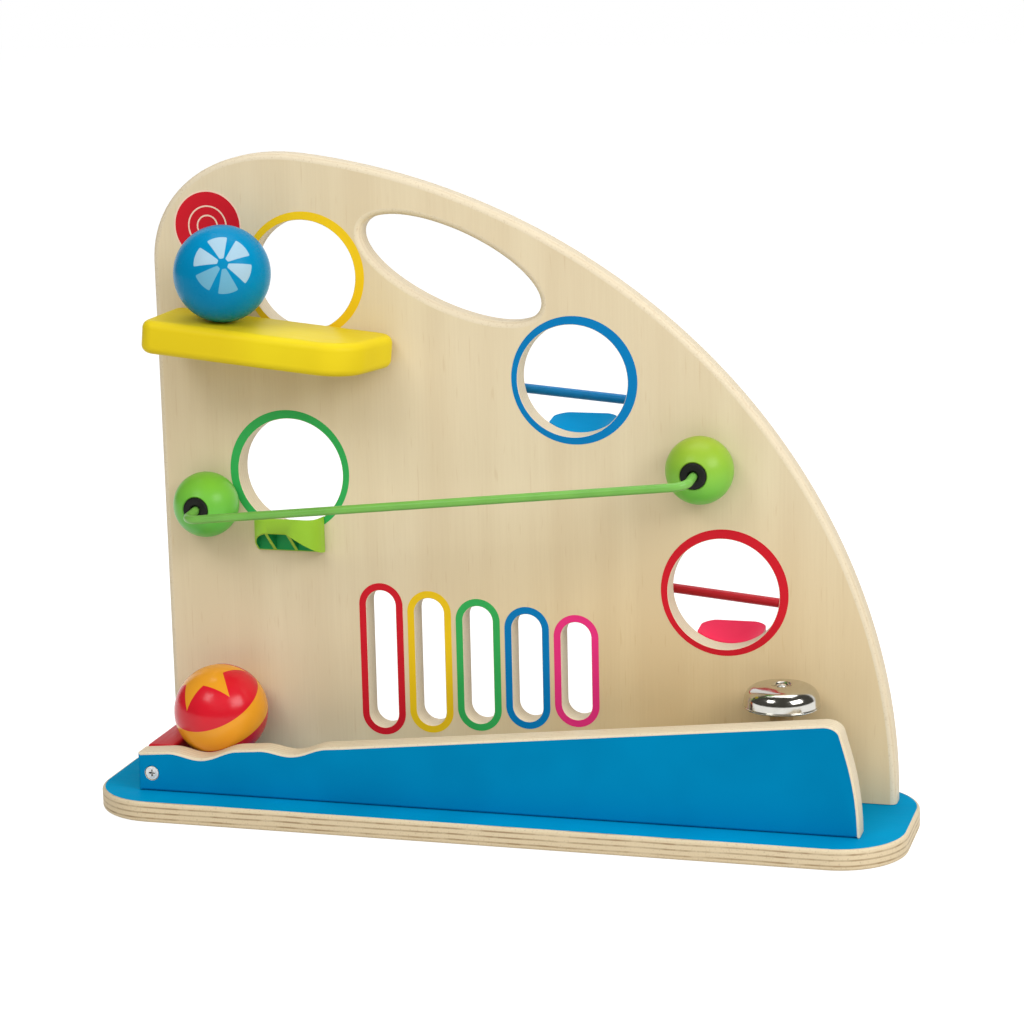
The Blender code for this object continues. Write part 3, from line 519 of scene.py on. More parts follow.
@dataclass(frozen=True)
class PetalBall(PatternedBall):
    """Six pale petals in a round, like slices with soft corners."""

    petals: int = 6
    near: float = radians(6.2)  # from the pole to a petal's tip
    reach: float = radians(35.8)  # from the pole to its outer end
    half: float = radians(20.8)  # half its width, round the pole
    soft: float = 0.05
    # the colour of the petals' painted shade
    painted_lighting_tone: str = "#6babc7"
    painted_shade_turn: float = radians(210)  # the way that the petals with painted shade lie, round the pole
    painted_shade_spread: float = radians(60)
    painted_shade_blur: float = 0.05

    def ink(self, tree: NodeTree, out: NodeSocket) -> NodeSocket | Sequence[float]:
        """Paints shade on the two lowest petals, mixing their pale print towards blue.

        Args:
            tree: The material's nodes.
            out: The direction from the ball's middle.

        Returns:
            The petals' colour.
        """
        pole, start, across = self.axes()
        low = start * cos(self.painted_shade_turn) + across * sin(self.painted_shade_turn)
        along = add_node(tree, "ShaderNodeVectorMath", {0: out, 1: low}, operation="DOT_PRODUCT")
        off = add_node(tree, "ShaderNodeVectorMath", {0: out, 1: pole}, operation="CROSS_PRODUCT")
        off = add_node(tree, "ShaderNodeVectorMath", {0: off.outputs[0]}, operation="LENGTH")
        inputs = {0: along.outputs[1], 1: off.outputs[1]}
        turn = add_node(tree, "ShaderNodeMath", inputs, operation="DIVIDE").outputs[0]
        limit = cos(self.painted_shade_spread)
        inputs = {0: turn, 1: limit - self.painted_shade_blur, 2: limit + self.painted_shade_blur}
        share = add_node(tree, "ShaderNodeMapRange", inputs)
        mix = {0: share.outputs[0], 6: linear(self.second), 7: linear(self.painted_lighting_tone)}
        return add_node(tree, "ShaderNodeMix", mix, data_type="RGBA").outputs[2]

    def inside(self, tree: NodeTree, out: NodeSocket) -> NodeSocket:
        """Keeps between a petal's two sides, its tip and its outer end.

        Args:
            tree: The material's nodes.
            out: The direction from the ball's middle.

        Returns:
            About the angle to the stencil's edge, in radians, above zero inside.
        """
        away, fold = self.polar(tree, out, self.petals)
        turn = add_node(tree, "ShaderNodeMath", {0: self.half, 1: fold}, operation="SUBTRACT").outputs[0]
        turn = add_node(tree, "ShaderNodeMath", {0: turn}, operation="SINE").outputs[0]
        side = add_node(tree, "ShaderNodeMath", {0: away, 1: turn}, operation="MULTIPLY").outputs[0]
        tip = add_node(tree, "ShaderNodeMath", {0: away, 1: self.near}, operation="SUBTRACT").outputs[0]
        end = add_node(tree, "ShaderNodeMath", {0: self.reach, 1: away}, operation="SUBTRACT").outputs[0]
        inputs = {0: tip, 1: end, 2: self.soft}
        ends = add_node(tree, "ShaderNodeMath", inputs, operation="SMOOTH_MIN").outputs[0]
        corner = {0: side, 1: ends, 2: self.soft}
        return add_node(tree, "ShaderNodeMath", corner, operation="SMOOTH_MIN").outputs[0]


@dataclass(frozen=True)
class StarBall(PatternedBall):
    """A five-pointed star on the pole and a broad belt round the middle."""

    points: int = 5
    tip: float = radians(55.7)
    valley: float = radians(25.9)
    belt_pole: Triple = (0.0, 0.0, 1.0)
    belt: float = 0.28

    def inside(self, tree: NodeTree, out: NodeSocket) -> NodeSocket:
        """Folds the star into half a point, where it has one straight edge, and adds the belt.

        Args:
            tree: The material's nodes.
            out: The direction from the ball's middle.

        Returns:
            About the angle to the stencil's edge, in radians, above zero inside.
        """
        away, fold = self.polar(tree, out, self.points)
        step = pi / self.points
        along = 1 / self.tip
        over = (1 / self.valley - along * cos(step)) / sin(step)
        low = add_node(tree, "ShaderNodeMath", {0: fold}, operation="COSINE").outputs[0]
        low = add_node(tree, "ShaderNodeMath", {0: low, 1: along}, operation="MULTIPLY").outputs[0]
        high = add_node(tree, "ShaderNodeMath", {0: fold}, operation="SINE").outputs[0]
        inputs = {0: high, 1: over, 2: low}
        line = add_node(tree, "ShaderNodeMath", inputs, operation="MULTIPLY_ADD").outputs[0]
        reach = add_node(tree, "ShaderNodeMath", {0: 1.0, 1: line}, operation="DIVIDE").outputs[0]
        star = add_node(tree, "ShaderNodeMath", {0: reach, 1: away}, operation="SUBTRACT").outputs[0]
        inputs = {0: out, 1: Vector(self.belt_pole).normalized()}
        level = add_node(tree, "ShaderNodeVectorMath", inputs, operation="DOT_PRODUCT").outputs[1]
        level = add_node(tree, "ShaderNodeMath", {0: level}, operation="ABSOLUTE").outputs[0]
        inputs = {0: self.belt, 1: level}
        belt = add_node(tree, "ShaderNodeMath", inputs, operation="SUBTRACT").outputs[0]
        return add_node(tree, "ShaderNodeMath", {0: star, 1: belt}, operation="MAXIMUM").outputs[0]


@dataclass(frozen=True)
class Metal(Finish):
    """Plated metal: a mirror with faint uneven polish."""

    colour: str = "#dddbd6"
    polish: float = 3.0
    uneven: Pair = (0.75, 1.3)  # its least and most, as shares of the roughness

    def shade(self, tree: NodeTree, at: NodeSocket) -> Sockets:
        """Varies the polish a little over the plating.

        Args:
            tree: The material's nodes.
            at: Object coordinates, in metres.

        Returns:
            What goes into each socket of the shader.
        """
        haze = patches(tree, at, (self.polish,) * 3)
        low, high = (self.roughness * share for share in self.uneven)
        rough = {0: haze, 1: NOISE_LOW, 2: NOISE_HIGH, 3: low, 4: high}
        gloss = add_node(tree, "ShaderNodeMapRange", rough)
        return {"Base Color": linear(self.colour), "Metallic": 1.0, "Roughness": gloss.outputs[0]}


def middle_of(node: str) -> Triple:
    """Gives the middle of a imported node's box, in millimetres."""
    low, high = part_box(node)
    return tuple((low + high) / 2 / MM)


# Sanded birch plywood under satin lacquer shows cream faces and striped edges.
# Round a point low on the right of the panel, behind the fence, its colour is tinted warmer: painted
# warm shade, standing for light bounced off the wood.
BIRCH_FACE = Veneer("birch_veneer_lacquered", "birch_plywood", 0.5, painted_warm_shade="#fff0d4",
                    painted_warm_shade_at=(85.0, 26.0, 45.0), painted_warm_shade_size=(190.0, 190.0, 120.0))
BIRCH_UNDER = Veneer("birch_veneer_underside", "birch_plywood", 0.6, band=(210.0, 17.0, 17.0),
                     fibre=(38.0, 1.0, 1.0), fleck=(13.0, 1.1, 1.1))
BIRCH_LONG = replace(BIRCH_UNDER, name="birch_veneer_long_grain", roughness=0.5)
PANEL_EDGE = PlyEdge("birch_ply_edge_panel", "birch_plywood", 0.5, start=20.0, pitch=2.4, depth=0.22)
FENCE_EDGE = PlyEdge("birch_ply_edge_fence", "birch_plywood", 0.5, start=-31.5, pitch=2.4, depth=0.3)
BASE_EDGE = PlyEdge("birch_ply_edge_base", "birch_plywood", 0.55, through=(0.0, 0.0, 1.0), start=0.95,
                    pitch=2.7, line=0.3, depth=0.75, brown="#927550", pale="#dfceae")

# Satin paint brushed on plywood lets the long grain show as faint ripples.
BLUE_BOARD = Coating("blue_satin_paint", "blue_paint", 0.55, 0.01, colour="#0089be", deep="#0080b4",
                     grain=(26.0, 1.2, 1.2), ripple=0.02)
# The base's top is the fence's paint made lighter: painted light on the level top.
BLUE_TOP_PAINTED_LIGHT = replace(BLUE_BOARD, name="blue_satin_paint_base_painted_light", colour="#0098ca", deep="#008fc0")
# Satin and gloss paint on solid wood fill the grain a little more.
YELLOW_WOOD = Coating("yellow_satin_paint", "yellow_paint", 0.42, 0.1, colour="#e9d220", deep="#e2c81e",
                      grain=(20.0, 1.4, 1.4), ripple=0.02)
RED_WOOD = Coating("red_gloss_paint", "red_paint", 0.33, 0.1, colour="#cc202d", deep="#ba1a27",
                   grain=(1.4, 16.0, 1.4), ripple=0.02)

# Screen print lies thin and matt on the lacquered veneer.
RED_PRINT = Coating("red_screen_print", "red_paint", 0.5, 0.1, colour="#d6202f", deep="#cc1c2b")
YELLOW_PRINT = Coating("yellow_screen_print", "yellow_paint", 0.5, 0.1, colour="#f2cb20", deep="#eac11e")
GREEN_PRINT = Coating("green_screen_print", "green_paint", 0.5, 0.1, colour="#3ab25c", deep="#33a855")
BLUE_PRINT = Coating("blue_screen_print", "blue_paint", 0.5, 0.1, colour="#0480c2", deep="#0378b8")
PINK_PRINT = Coating("magenta_screen_print", "red_paint", 0.5, 0.1, colour="#f03884", deep="#e6337c")
PALE_PRINT = Coating("cream_screen_print", "birch_plywood", 0.5, 0.1, colour="#f8d9c4", deep="#f2d0b8")

# Gloss paint on turned wood is smooth, with a clear highlight.
# Each knob's colour runs from a yellower top to a bottom that is greener on the green knobs and darker
# on the others: painted light and shade.
GREEN_KNOB = KnobPaintLitAndShaded("green_gloss_paint_lit_and_shaded", "green_paint", 0.34, 0.25, colour="#a2ba30",
                         deep="#99b22e", low="#64ca4e", cloud=20.0, grain=(9.0, 9.0, 9.0))
# The left green knob is drawn a deeper green than the right one.
GREEN_KNOB_DEEP = replace(GREEN_KNOB, colour="#7ec337", deep="#77bb35", low="#5dc053")
BLUE_KNOB = replace(GREEN_KNOB, name="blue_gloss_paint_lit_and_shaded", slot="blue_paint", colour="#0484c6",
                    deep="#037aba", low="#026aa6")
RED_KNOB = replace(GREEN_KNOB, name="red_gloss_paint_lit_and_shaded", slot="red_paint", colour="#da2030",
                   deep="#cd1c2c", low="#b81626")
PETALS = PetalBall("blue_ball_gloss_paint", "blue_ball_paint", 0.27, 0.07, colour="#0089bb",
                   deep="#007fb0", cloud=30.0, grain=(9.0, 9.0, 9.0), second="#a4c5d8",
                   middle=middle_of("blue_ball"), pole=(0.370, -0.870, 0.326),
                   first=(0.624, 0.518, 0.585))
STAR = StarBall("red_ball_gloss_paint", "red_paint", 0.22, 0.34, colour="#dc1a2c", deep="#ce1628",
                cloud=30.0, grain=(9.0, 9.0, 9.0), second="#eda026", middle=middle_of("red_ball"),
                pole=(-0.253, -0.289, 0.923), first=(0.805, 0.466, 0.366),
                belt_pole=(-0.213, -0.437, 0.874))

# Stove enamel on steel wire is a thin smooth skin.
GREEN_WIRE = Coating("green_stove_enamel", "green_enamel_wire", 0.34, 0.4, colour="#78ba50",
                     deep="#6fb04a", cloud=18.0, grain=(2.5, 2.5, 2.5), ripple=0.006)
BLUE_WIRE = replace(GREEN_WIRE, name="blue_stove_enamel", slot="blue_enamel_wire", shine=0.3,
                    colour="#0688cc", deep="#057ebe")
RED_WIRE = replace(GREEN_WIRE, name="red_stove_enamel", slot="red_enamel_wire", shine=0.3,
                   colour="#d42a36", deep="#c4242f")

# Moulded ABS has an even colour and a fine tool texture, drawn at 0.5 mm so that it shows.
# The cored hollows are duller and a deeper colour, darkened further with painted shade for the recess.
GREEN_ABS = Coating("green_moulded_abs", "green_plastic", 0.38, 0.3, colour="#9ccc34", deep="#94c430",
                    cloud=25.0, grain=(0.5, 0.5, 0.5), ripple=0.006)
BLUE_ABS = replace(GREEN_ABS, name="blue_moulded_abs", slot="blue_plastic", shine=0.03, colour="#028dc8",
                   deep="#0285be")
RED_ABS = replace(GREEN_ABS, name="red_moulded_abs", slot="red_plastic", shine=0.1, colour="#f4305a",
                  deep="#ea2b53")
GREEN_HOLLOW = replace(GREEN_ABS, name="green_moulded_abs_core_painted_shade", roughness=0.5, shine=0.2,
                       colour="#1fa258", deep="#189650", cloud=12.0)
BLUE_HOLLOW = replace(GREEN_HOLLOW, name="blue_moulded_abs_core_painted_shade", slot="blue_plastic", colour="#0a6a9c",
                      deep="#096292")
RED_HOLLOW = replace(GREEN_HOLLOW, name="red_moulded_abs_core_painted_shade", slot="red_plastic", colour="#b02040",
                     deep="#a41c3a")

# Moulded rubber is a soft black with a faint sheen, and pressed felt is a matt grey fuzz.
RUBBER = Coating("black_moulded_rubber", "black_rubber", 0.62, 0.3, colour="#191a17", deep="#121310",
                 cloud=8.0, grain=(0.6, 0.6, 0.6), ripple=0.03)
FELT = Coating("grey_pressed_felt", "felt", 0.9, 0.0, colour="#5b5048", deep="#4a413a", cloud=2.0,
               grain=(0.5, 0.5, 0.2), ripple=0.15)

# Chrome plate is a dark mirror, and zinc plate a pale one that blurs what it shows.
CHROME = Metal("bright_chrome_plate", "chrome", 0.13, colour="#cbc9c2")
ZINC = Metal("bright_zinc_plate", "zinc", 0.4, colour="#e6e5e2", polish=1.2)

# Bare beech is a pinkish tan with short dark flecks.
BEECH = Veneer("bare_beech", "beech", 0.6, pale="#d8bd94", dark="#c7a87c", mark="#8d6a44",
               band=(6.0, 6.0, 60.0), fibre=(0.5, 0.5, 12.0), fleck=(0.6, 0.6, 3.0))


# Shapes, drawn in millimetres


def new_verts(made: Iterable[object]) -> list[BMVert]:
    """Picks the vertices out of an operator's result."""
    return [part for part in made if isinstance(part, BMVert)]


def verts_of(parts: Iterable[BMEdge | BMFace]) -> list[BMVert]:
    """Gives the vertices of some edges or faces, each once."""
    return list({vert for part in parts for vert in part.verts})


def whole(shape: BMesh) -> list[BMVert | BMEdge | BMFace]:
    """Gives every vertex, edge and face of a shape."""
    return shape.verts[:] + shape.edges[:] + shape.faces[:]


def closed_line(shape: BMesh, points: Sequence[Pair]) -> list[BMEdge]:
    """Draws a closed line through points of the XY plane, and gives its edges."""
    verts = [shape.verts.new((x, y, 0)) for x, y in points]
    return [shape.edges.new(pair) for pair in zip(verts, verts[1:] + verts[:1])]


def round_line(shape: BMesh, middle: Pair, radius: float, rise: float = 0.0, squash: float = 1.0,
               tilt: float = 0.0, segments: int = 96) -> list[BMEdge]:
    """Draws a circle, ellipse or upright stadium in the XY plane.

    Args:
        shape: Where it goes.
        middle: Its middle.
        radius: Half its width.
        rise: How far a stadium's two round ends stand off the middle.
        squash: An ellipse's height over its width.
        tilt: How far an ellipse is turned, in radians.
        segments: The number of edges.

    Returns:
        Its edges.
    """
    half_step = Matrix.Rotation(pi / segments, 4, "Z")
    form = Matrix.Rotation(tilt, 4, "Z") @ Matrix.Diagonal((1, squash, 1, 1)) @ half_step
    verts = bmesh.ops.create_circle(shape, segments=segments, radius=radius, matrix=form)["verts"]
    for way in (1, -1):
        end = [vert for vert in verts if vert.co.y * way > 0]
        bmesh.ops.translate(shape, vec=(0, rise * way, 0), verts=end)
    bmesh.ops.translate(shape, vec=(*middle, 0), verts=verts)
    return list({edge for vert in verts for edge in vert.link_edges})


def lift(shape: BMesh, faces: Sequence[BMFace], height: float) -> None:
    """Moves faces along Z."""
    bmesh.ops.translate(shape, vec=(0, 0, height), verts=verts_of(faces))


def make_board(shape: BMesh, soft: Sequence[BMEdge], thickness: float, edge: float, crisp: float = 0.25,
               steps: int = 6) -> None:
    """Makes a board of the closed lines of a sheet, half of it above and half below Z = 0.

    Args:
        shape: The sheet's lines, in the XY plane.
        soft: The lines whose edges are rounded; the others are windows with crisp edges.
        thickness: The board's thickness.
        edge: The radius of the rounded edges.
        crisp: How far the windows' edges are broken.
        steps: How many strips make the round.
    """
    bmesh.ops.triangle_fill(shape, use_beauty=True, edges=shape.edges[:], normal=(0, 0, 1))
    sheet = shape.faces[:]
    half = thickness / 2
    lift(shape, sheet, half - edge)
    wall = bmesh.ops.extrude_edge_only(shape, edges=soft)["geom"]
    bmesh.ops.translate(shape, vec=(0, 0, edge - half), verts=new_verts(wall))
    for step in range(steps):
        low, high = (pi / 2 * (step + i) / steps for i in (0, 1))
        inward = edge * (cos(low) - cos(high))
        bmesh.ops.inset_region(shape, faces=sheet, thickness=inward, use_even_offset=True,
                               use_boundary=False)
        lift(shape, sheet, edge * (sin(high) - sin(low)))
    bmesh.ops.inset_region(shape, faces=sheet, thickness=crisp, use_even_offset=True, use_boundary=True)
    rim = [e for e in shape.edges if e.is_boundary and e.verts[0].co.z > half / 2]
    if rim:
        bmesh.ops.translate(shape, vec=(0, 0, -crisp), verts=verts_of(rim))
        wall = bmesh.ops.extrude_edge_only(shape, edges=rim)["geom"]
        bmesh.ops.translate(shape, vec=(0, 0, crisp - half), verts=new_verts(wall))
    bmesh.ops.mirror(shape, geom=whole(shape), merge_dist=MERGE, axis="Z")
    tidy(shape)


def tidy(shape: BMesh) -> BMesh:
    """Merges doubles and turns every face outwards.

    Args:
        shape: The closed shape.

    Returns:
        The same shape.
    """
    bmesh.ops.remove_doubles(shape, verts=shape.verts, dist=MERGE)
    bmesh.ops.recalc_face_normals(shape, faces=shape.faces)
    return shape


def colour_faces(shape: BMesh, top: int = 0, side: int = 1, under: int = 0) -> None:
    """Gives a level board's faces their finishes, by number.

    Args:
        shape: The board.
        top: The number of the face above.
        side: The number of the edge all round.
        under: The number of the face below.
    """
    for face in shape.faces:
        level = face.normal.z
        face.material_index = top if level > LEVEL else under if level < -LEVEL else side


def round_off(shape: BMesh, parts: Sequence[BMVert | BMEdge], radius: float, steps: int,
              what: Round = Round.EDGES, clamp: bool = False) -> None:
    """Rounds edges, or corners of a flat sheet; a clamp stops rounds that run into each other."""
    bmesh.ops.bevel(shape, geom=parts, offset=radius, offset_type="OFFSET", segments=steps, profile=0.5,
                    affect=what.value, clamp_overlap=clamp, material=-1)


def cut_off(shape: BMesh, at: Sequence[float], way: Sequence[float], close: bool = True) -> None:
    """Cuts off what lies on one side of a plane.

    Args:
        shape: What is cut.
        at: A point of the plane.
        way: Which way the side that goes lies.
        close: Whether the cut is filled.
    """
    bmesh.ops.bisect_plane(shape, geom=whole(shape), dist=ON_PLANE, plane_co=at, plane_no=way,
                           clear_outer=True)
    if close:
        cut = [edge for edge in shape.edges if edge.is_boundary]
        bmesh.ops.holes_fill(shape, edges=cut, sides=0)


def saw_foot(shape: BMesh, height: float) -> None:
    """Saws a standing board level at a height, and closes the cut."""
    cut_off(shape, (0, 0, height), (0, 0, -1))
    bmesh.ops.recalc_face_normals(shape, faces=shape.faces)


def arc(middle: Pair, radius: float, start: float, end: float, steps: int = 8) -> list[Pair]:
    """Gives points on a circle, from one angle to another in degrees, both ends included."""
    angles = [radians(start + (end - start) * i / steps) for i in range(steps + 1)]
    return [(middle[0] + radius * cos(a), middle[1] + radius * sin(a)) for a in angles]


def turned(profile: Sequence[Pair], steps: int = 64) -> BMesh:
    """Turns a profile round the Z axis.

    Args:
        profile: Radius and height of each point.
        steps: How many steps go round.

    Returns:
        The closed shape.
    """
    shape = bmesh.new()
    verts = [shape.verts.new((radius, 0, height)) for radius, height in profile]
    edges = [shape.edges.new(pair) for pair in zip(verts, verts[1:])]
    bmesh.ops.spin(shape, geom=verts + edges, cent=(0, 0, 0), axis=(0, 0, 1), dvec=(0, 0, 0),
                   angle=2 * pi, steps=steps, use_merge=True, use_duplicate=False)
    return tidy(shape)


def bent_wire(points: Sequence[Vector], radius: float, bend: float, sides: int = 24,
              steps: int = 10) -> BMesh:
    """Draws a round wire along straight runs, with its corners turned on a bend.

    Args:
        points: The ends and corners of the runs.
        radius: The wire's radius.
        bend: The radius of the bends.
        sides: How many sides the wire has.
        steps: How many steps make a bend.

    Returns:
        The closed shape.
    """
    shape = bmesh.new()
    turn = (points[1] - points[0]).to_track_quat("Z", "Y").to_matrix().to_4x4()
    place = Matrix.Translation(points[0]) @ turn
    bmesh.ops.create_circle(shape, cap_ends=True, segments=sides, radius=radius, matrix=place)
    ring = shape.edges[:]
    here = points[0]
    stops = []
    for before, corner, after in zip(points, points[1:], points[2:]):
        back, ahead = (before - corner).normalized(), (after - corner).normalized()
        half = back.angle(ahead) / 2
        centre = corner + (back + ahead).normalized() * (bend / sin(half))
        stops.append((corner + back * (bend / tan(half)), centre, ahead.cross(back), pi - 2 * half,
                      corner + ahead * (bend / tan(half))))
    for run_end, centre, axis, angle, leave in stops:
        ring = pull_ring(shape, ring, run_end - here)
        made = bmesh.ops.spin(shape, geom=verts_of(ring) + ring, cent=centre, axis=axis, dvec=(0, 0, 0),
                              angle=angle, steps=steps, use_duplicate=False)
        ring = [part for part in made["geom_last"] if isinstance(part, BMEdge)]
        here = leave
    ring = pull_ring(shape, ring, points[-1] - here)
    bmesh.ops.contextual_create(shape, geom=ring)
    return tidy(shape)


def pull_ring(shape: BMesh, ring: Sequence[BMEdge], along: Vector) -> list[BMEdge]:
    """Extrudes a ring of edges.

    Args:
        shape: Where it is.
        ring: The edges.
        along: How far and which way they go.

    Returns:
        The edges of the new ring.
    """
    made = bmesh.ops.extrude_edge_only(shape, edges=ring)["geom"]
    verts = new_verts(made)
    bmesh.ops.translate(shape, vec=along, verts=verts)
    moved = set(verts)
    return [part for part in made if isinstance(part, BMEdge) and moved.issuperset(part.verts)]


def carve(shape: BMesh, tool: BMesh) -> BMesh:
    """Cuts one closed shape out of another.

    Args:
        shape: What is cut; it is used up.
        tool: What cuts it; it is used up.

    Returns:
        What is left.
    """
    blocks = []
    for part in (shape, tool):
        block = bpy.data.objects.new("carving", bpy.data.meshes.new("carving"))
        part.to_mesh(block.data)
        part.free()
        bpy.context.scene.collection.objects.link(block)
        blocks.append(block)
    cut = blocks[0].modifiers.new("carve", "BOOLEAN")
    cut.operation = "DIFFERENCE"
    cut.object = blocks[1]
    left = bmesh.new()
    left.from_object(blocks[0], bpy.context.evaluated_depsgraph_get())
    for block in blocks:
        mesh = block.data
        bpy.data.objects.remove(block)
        bpy.data.meshes.remove(mesh)
    return left


def move(shape: BMesh, place: Matrix) -> BMesh:
    """Puts a shape in its place."""
    bmesh.ops.transform(shape, matrix=place, verts=shape.verts)
    return shape


def add_piece(shape: BMesh, name: str, finishes: Sequence[Finish], nodes: Sequence[str] = (),
              body: Body = Body.STAND, crease: float = 35.0) -> Object:
    """Makes a finished piece of a shape that is in its place.

    Args:
        shape: The shape, in millimetres; it is used up.
        name: The piece's name.
        finishes: Its finishes, in the order of the faces' material numbers.
        nodes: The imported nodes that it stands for.
        body: The body that it rides on.
        crease: Edges that turn by more degrees than this stay sharp.

    Returns:
        The piece.
    """
    bmesh.ops.scale(shape, vec=(MM, MM, MM), verts=shape.verts)
    for face in shape.faces:
        face.smooth = True
    for edge in shape.edges:
        edge.smooth = edge.calc_face_angle(0.0) < radians(crease)
    mesh = bpy.data.meshes.new(name)
    shape.to_mesh(mesh)
    shape.free()
    for finish in finishes:
        mesh.materials.append(finish.material())
    piece = bpy.data.objects.new(name, mesh)
    bpy.context.scene.collection.objects.link(piece)
    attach(piece, body.value)
    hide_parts(*nodes)
    log.info("%s: %d faces on %s", name, len(mesh.polygons), body.value)
    return piece


# Sub-assemblies


@dataclass
class Screws:
    """Countersunk zinc screws: those that hold the boards from below, and the one in the fence."""

    head: float = 3.4
    shank: float = 1.8
    length: float = 22.0
    brim: float = 0.4
    chamfer: float = 0.15
    point: Pair = (0.8, 3.0)  # radius and length of the blunt point
    sink: float = 0.6
    room: float = 0.3
    over: float = 2.0  # how far a hole or a recess runs above the head
    fence_at: Pair = (-168.0, 19.1)
    fence_front: float = -31.5
    fence_sink: float = 0.2
    cross: Triple = (2.1, 0.6, 1.8)  # reach, half width and depth of the recess
    cross_taper: float = 0.6
    below: tuple[Pair, ...] = ((-150, 26), (0, 26), (150, 26), (-120, -25.5), (10, -25.5), (150, -25.5),
                               (-168, 0), (136, 0))

    def profile(self, room: float = 0.0, over: float = 0.0) -> list[Pair]:
        """Draws half a screw, head up.

        Args:
            room: How much wider it is, for a hole.
            over: How far a hole runs above the head.

        Returns:
            Radius and height of each point.
        """
        head, shank = self.head + room, self.shank + room
        neck = self.shank - self.head - self.brim
        tip = -self.length - room
        soft = self.chamfer
        blunt, taper = self.point
        top = [(0, over), (head, over)] if over else [(0, 0), (head - soft, 0), (head, -soft)]
        point = [(shank, tip + taper), (blunt + room, tip), (0, tip)]
        return top + [(head, -self.brim), (shank, neck)] + point

    def cross_key(self, top: float) -> BMesh:
        """Draws the cross-shaped bit that sinks a recess into a head.

        Args:
            top: The height of the head's top.

        Returns:
            The closed shape, on the Z axis.
        """
        reach, half, deep = self.cross
        key = bmesh.new()
        corners = [(reach, -half), (reach, half), (half, half)]
        points = []
        for turn in range(4):
            spin = Matrix.Rotation(turn * pi / 2, 2)
            points += [tuple(spin @ Vector(corner)) for corner in corners]
        closed_line(key, points)
        bmesh.ops.contextual_create(key, geom=key.edges[:])
        roof = bmesh.ops.extrude_face_region(key, geom=key.faces[:])["geom"]
        bmesh.ops.translate(key, vec=(0, 0, top + self.over), verts=new_verts(roof))
        floor = [vert for vert in key.verts if vert.co.z < ON_PLANE]
        bmesh.ops.scale(key, vec=(self.cross_taper, self.cross_taper, 1), verts=floor)
        bmesh.ops.translate(key, vec=(0, 0, top - deep), verts=floor)
        return tidy(key)

    def fence_place(self) -> Matrix:
        """Gives the place of the fence's screw.

        Returns:
            The matrix that puts its head's top there, facing the front.
        """
        x, z = self.fence_at
        top = (x, self.fence_front + self.fence_sink, z)
        return Matrix.Translation(top) @ Matrix.Rotation(pi / 2, 4, "X")

    def fence_hole(self) -> BMesh:
        """Gives the hole of the fence's screw, in its place."""
        return move(turned(self.profile(self.room, self.over), steps=48), self.fence_place())

    def holes_below(self) -> BMesh:
        """Gives all the holes in the base's underside.

        Returns:
            The holes as one shape, in their places.
        """
        holes = bmesh.new()
        for x, y in self.below:
            hole = turned(self.profile(self.room, self.over), steps=32)
            move(hole, Matrix.Translation((x, y, self.sink)) @ Matrix.Rotation(pi, 4, "X"))
            mesh = bpy.data.meshes.new("hole")
            hole.to_mesh(mesh)
            hole.free()
            holes.from_mesh(mesh)
            bpy.data.meshes.remove(mesh)
        return holes

    def build(self) -> None:
        """Makes the screw that shows, and finishes the hidden ones."""
        screw = carve(turned(self.profile(), steps=48), self.cross_key(0.0))
        add_piece(move(screw, self.fence_place()), "fence_cross_screw", [ZINC], ["fence_screw"])
        hidden = ["bell_post_screw", "stop_screw"]
        hidden += [f"{kind}_screw_{i}" for kind in ("panel", "fence_foot") for i in (1, 2, 3)]
        for name in hidden:
            carry_over(name, ZINC)


def carry_over(name: str, finish: Finish) -> None:
    """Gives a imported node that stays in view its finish.

    Args:
        name: The node's name.
        finish: Its finish.
    """
    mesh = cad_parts[name].data
    mesh.materials.clear()
    mesh.materials.append(finish.material())
    log.info("%s: packed solid in %s", name, finish.name)


@dataclass
class BaseBoard:
    """The board that everything stands on: blue above, bare plywood round the edge and below."""

    length: float = 396.0
    depth: float = 99.0
    thickness: float = 10.0
    corner: float = 33.0
    edge: float = 1.4

    def build(self, screws: Screws) -> None:
        """Rounds the corners of a sheet, makes it a board and sinks the screw holes.

        Args:
            screws: The screws that come up through it.
        """
        shape = bmesh.new()
        size = Matrix.Diagonal((self.length / 2, self.depth / 2, 1, 1))
        bmesh.ops.create_grid(shape, x_segments=1, y_segments=1, size=1, matrix=size)
        round_off(shape, shape.verts[:], self.corner, steps=20, what=Round.CORNERS)
        bmesh.ops.delete(shape, geom=shape.faces[:], context="FACES_ONLY")
        make_board(shape, shape.edges[:], self.thickness, self.edge, steps=4)
        move(shape, Matrix.Translation((0, 0, self.thickness / 2)))
        shape = carve(shape, screws.holes_below())
        colour_faces(shape, 0, 1, 2)
        add_piece(shape, "base_ply", [BLUE_TOP_PAINTED_LIGHT, BASE_EDGE, BIRCH_UNDER], ["base_board"])


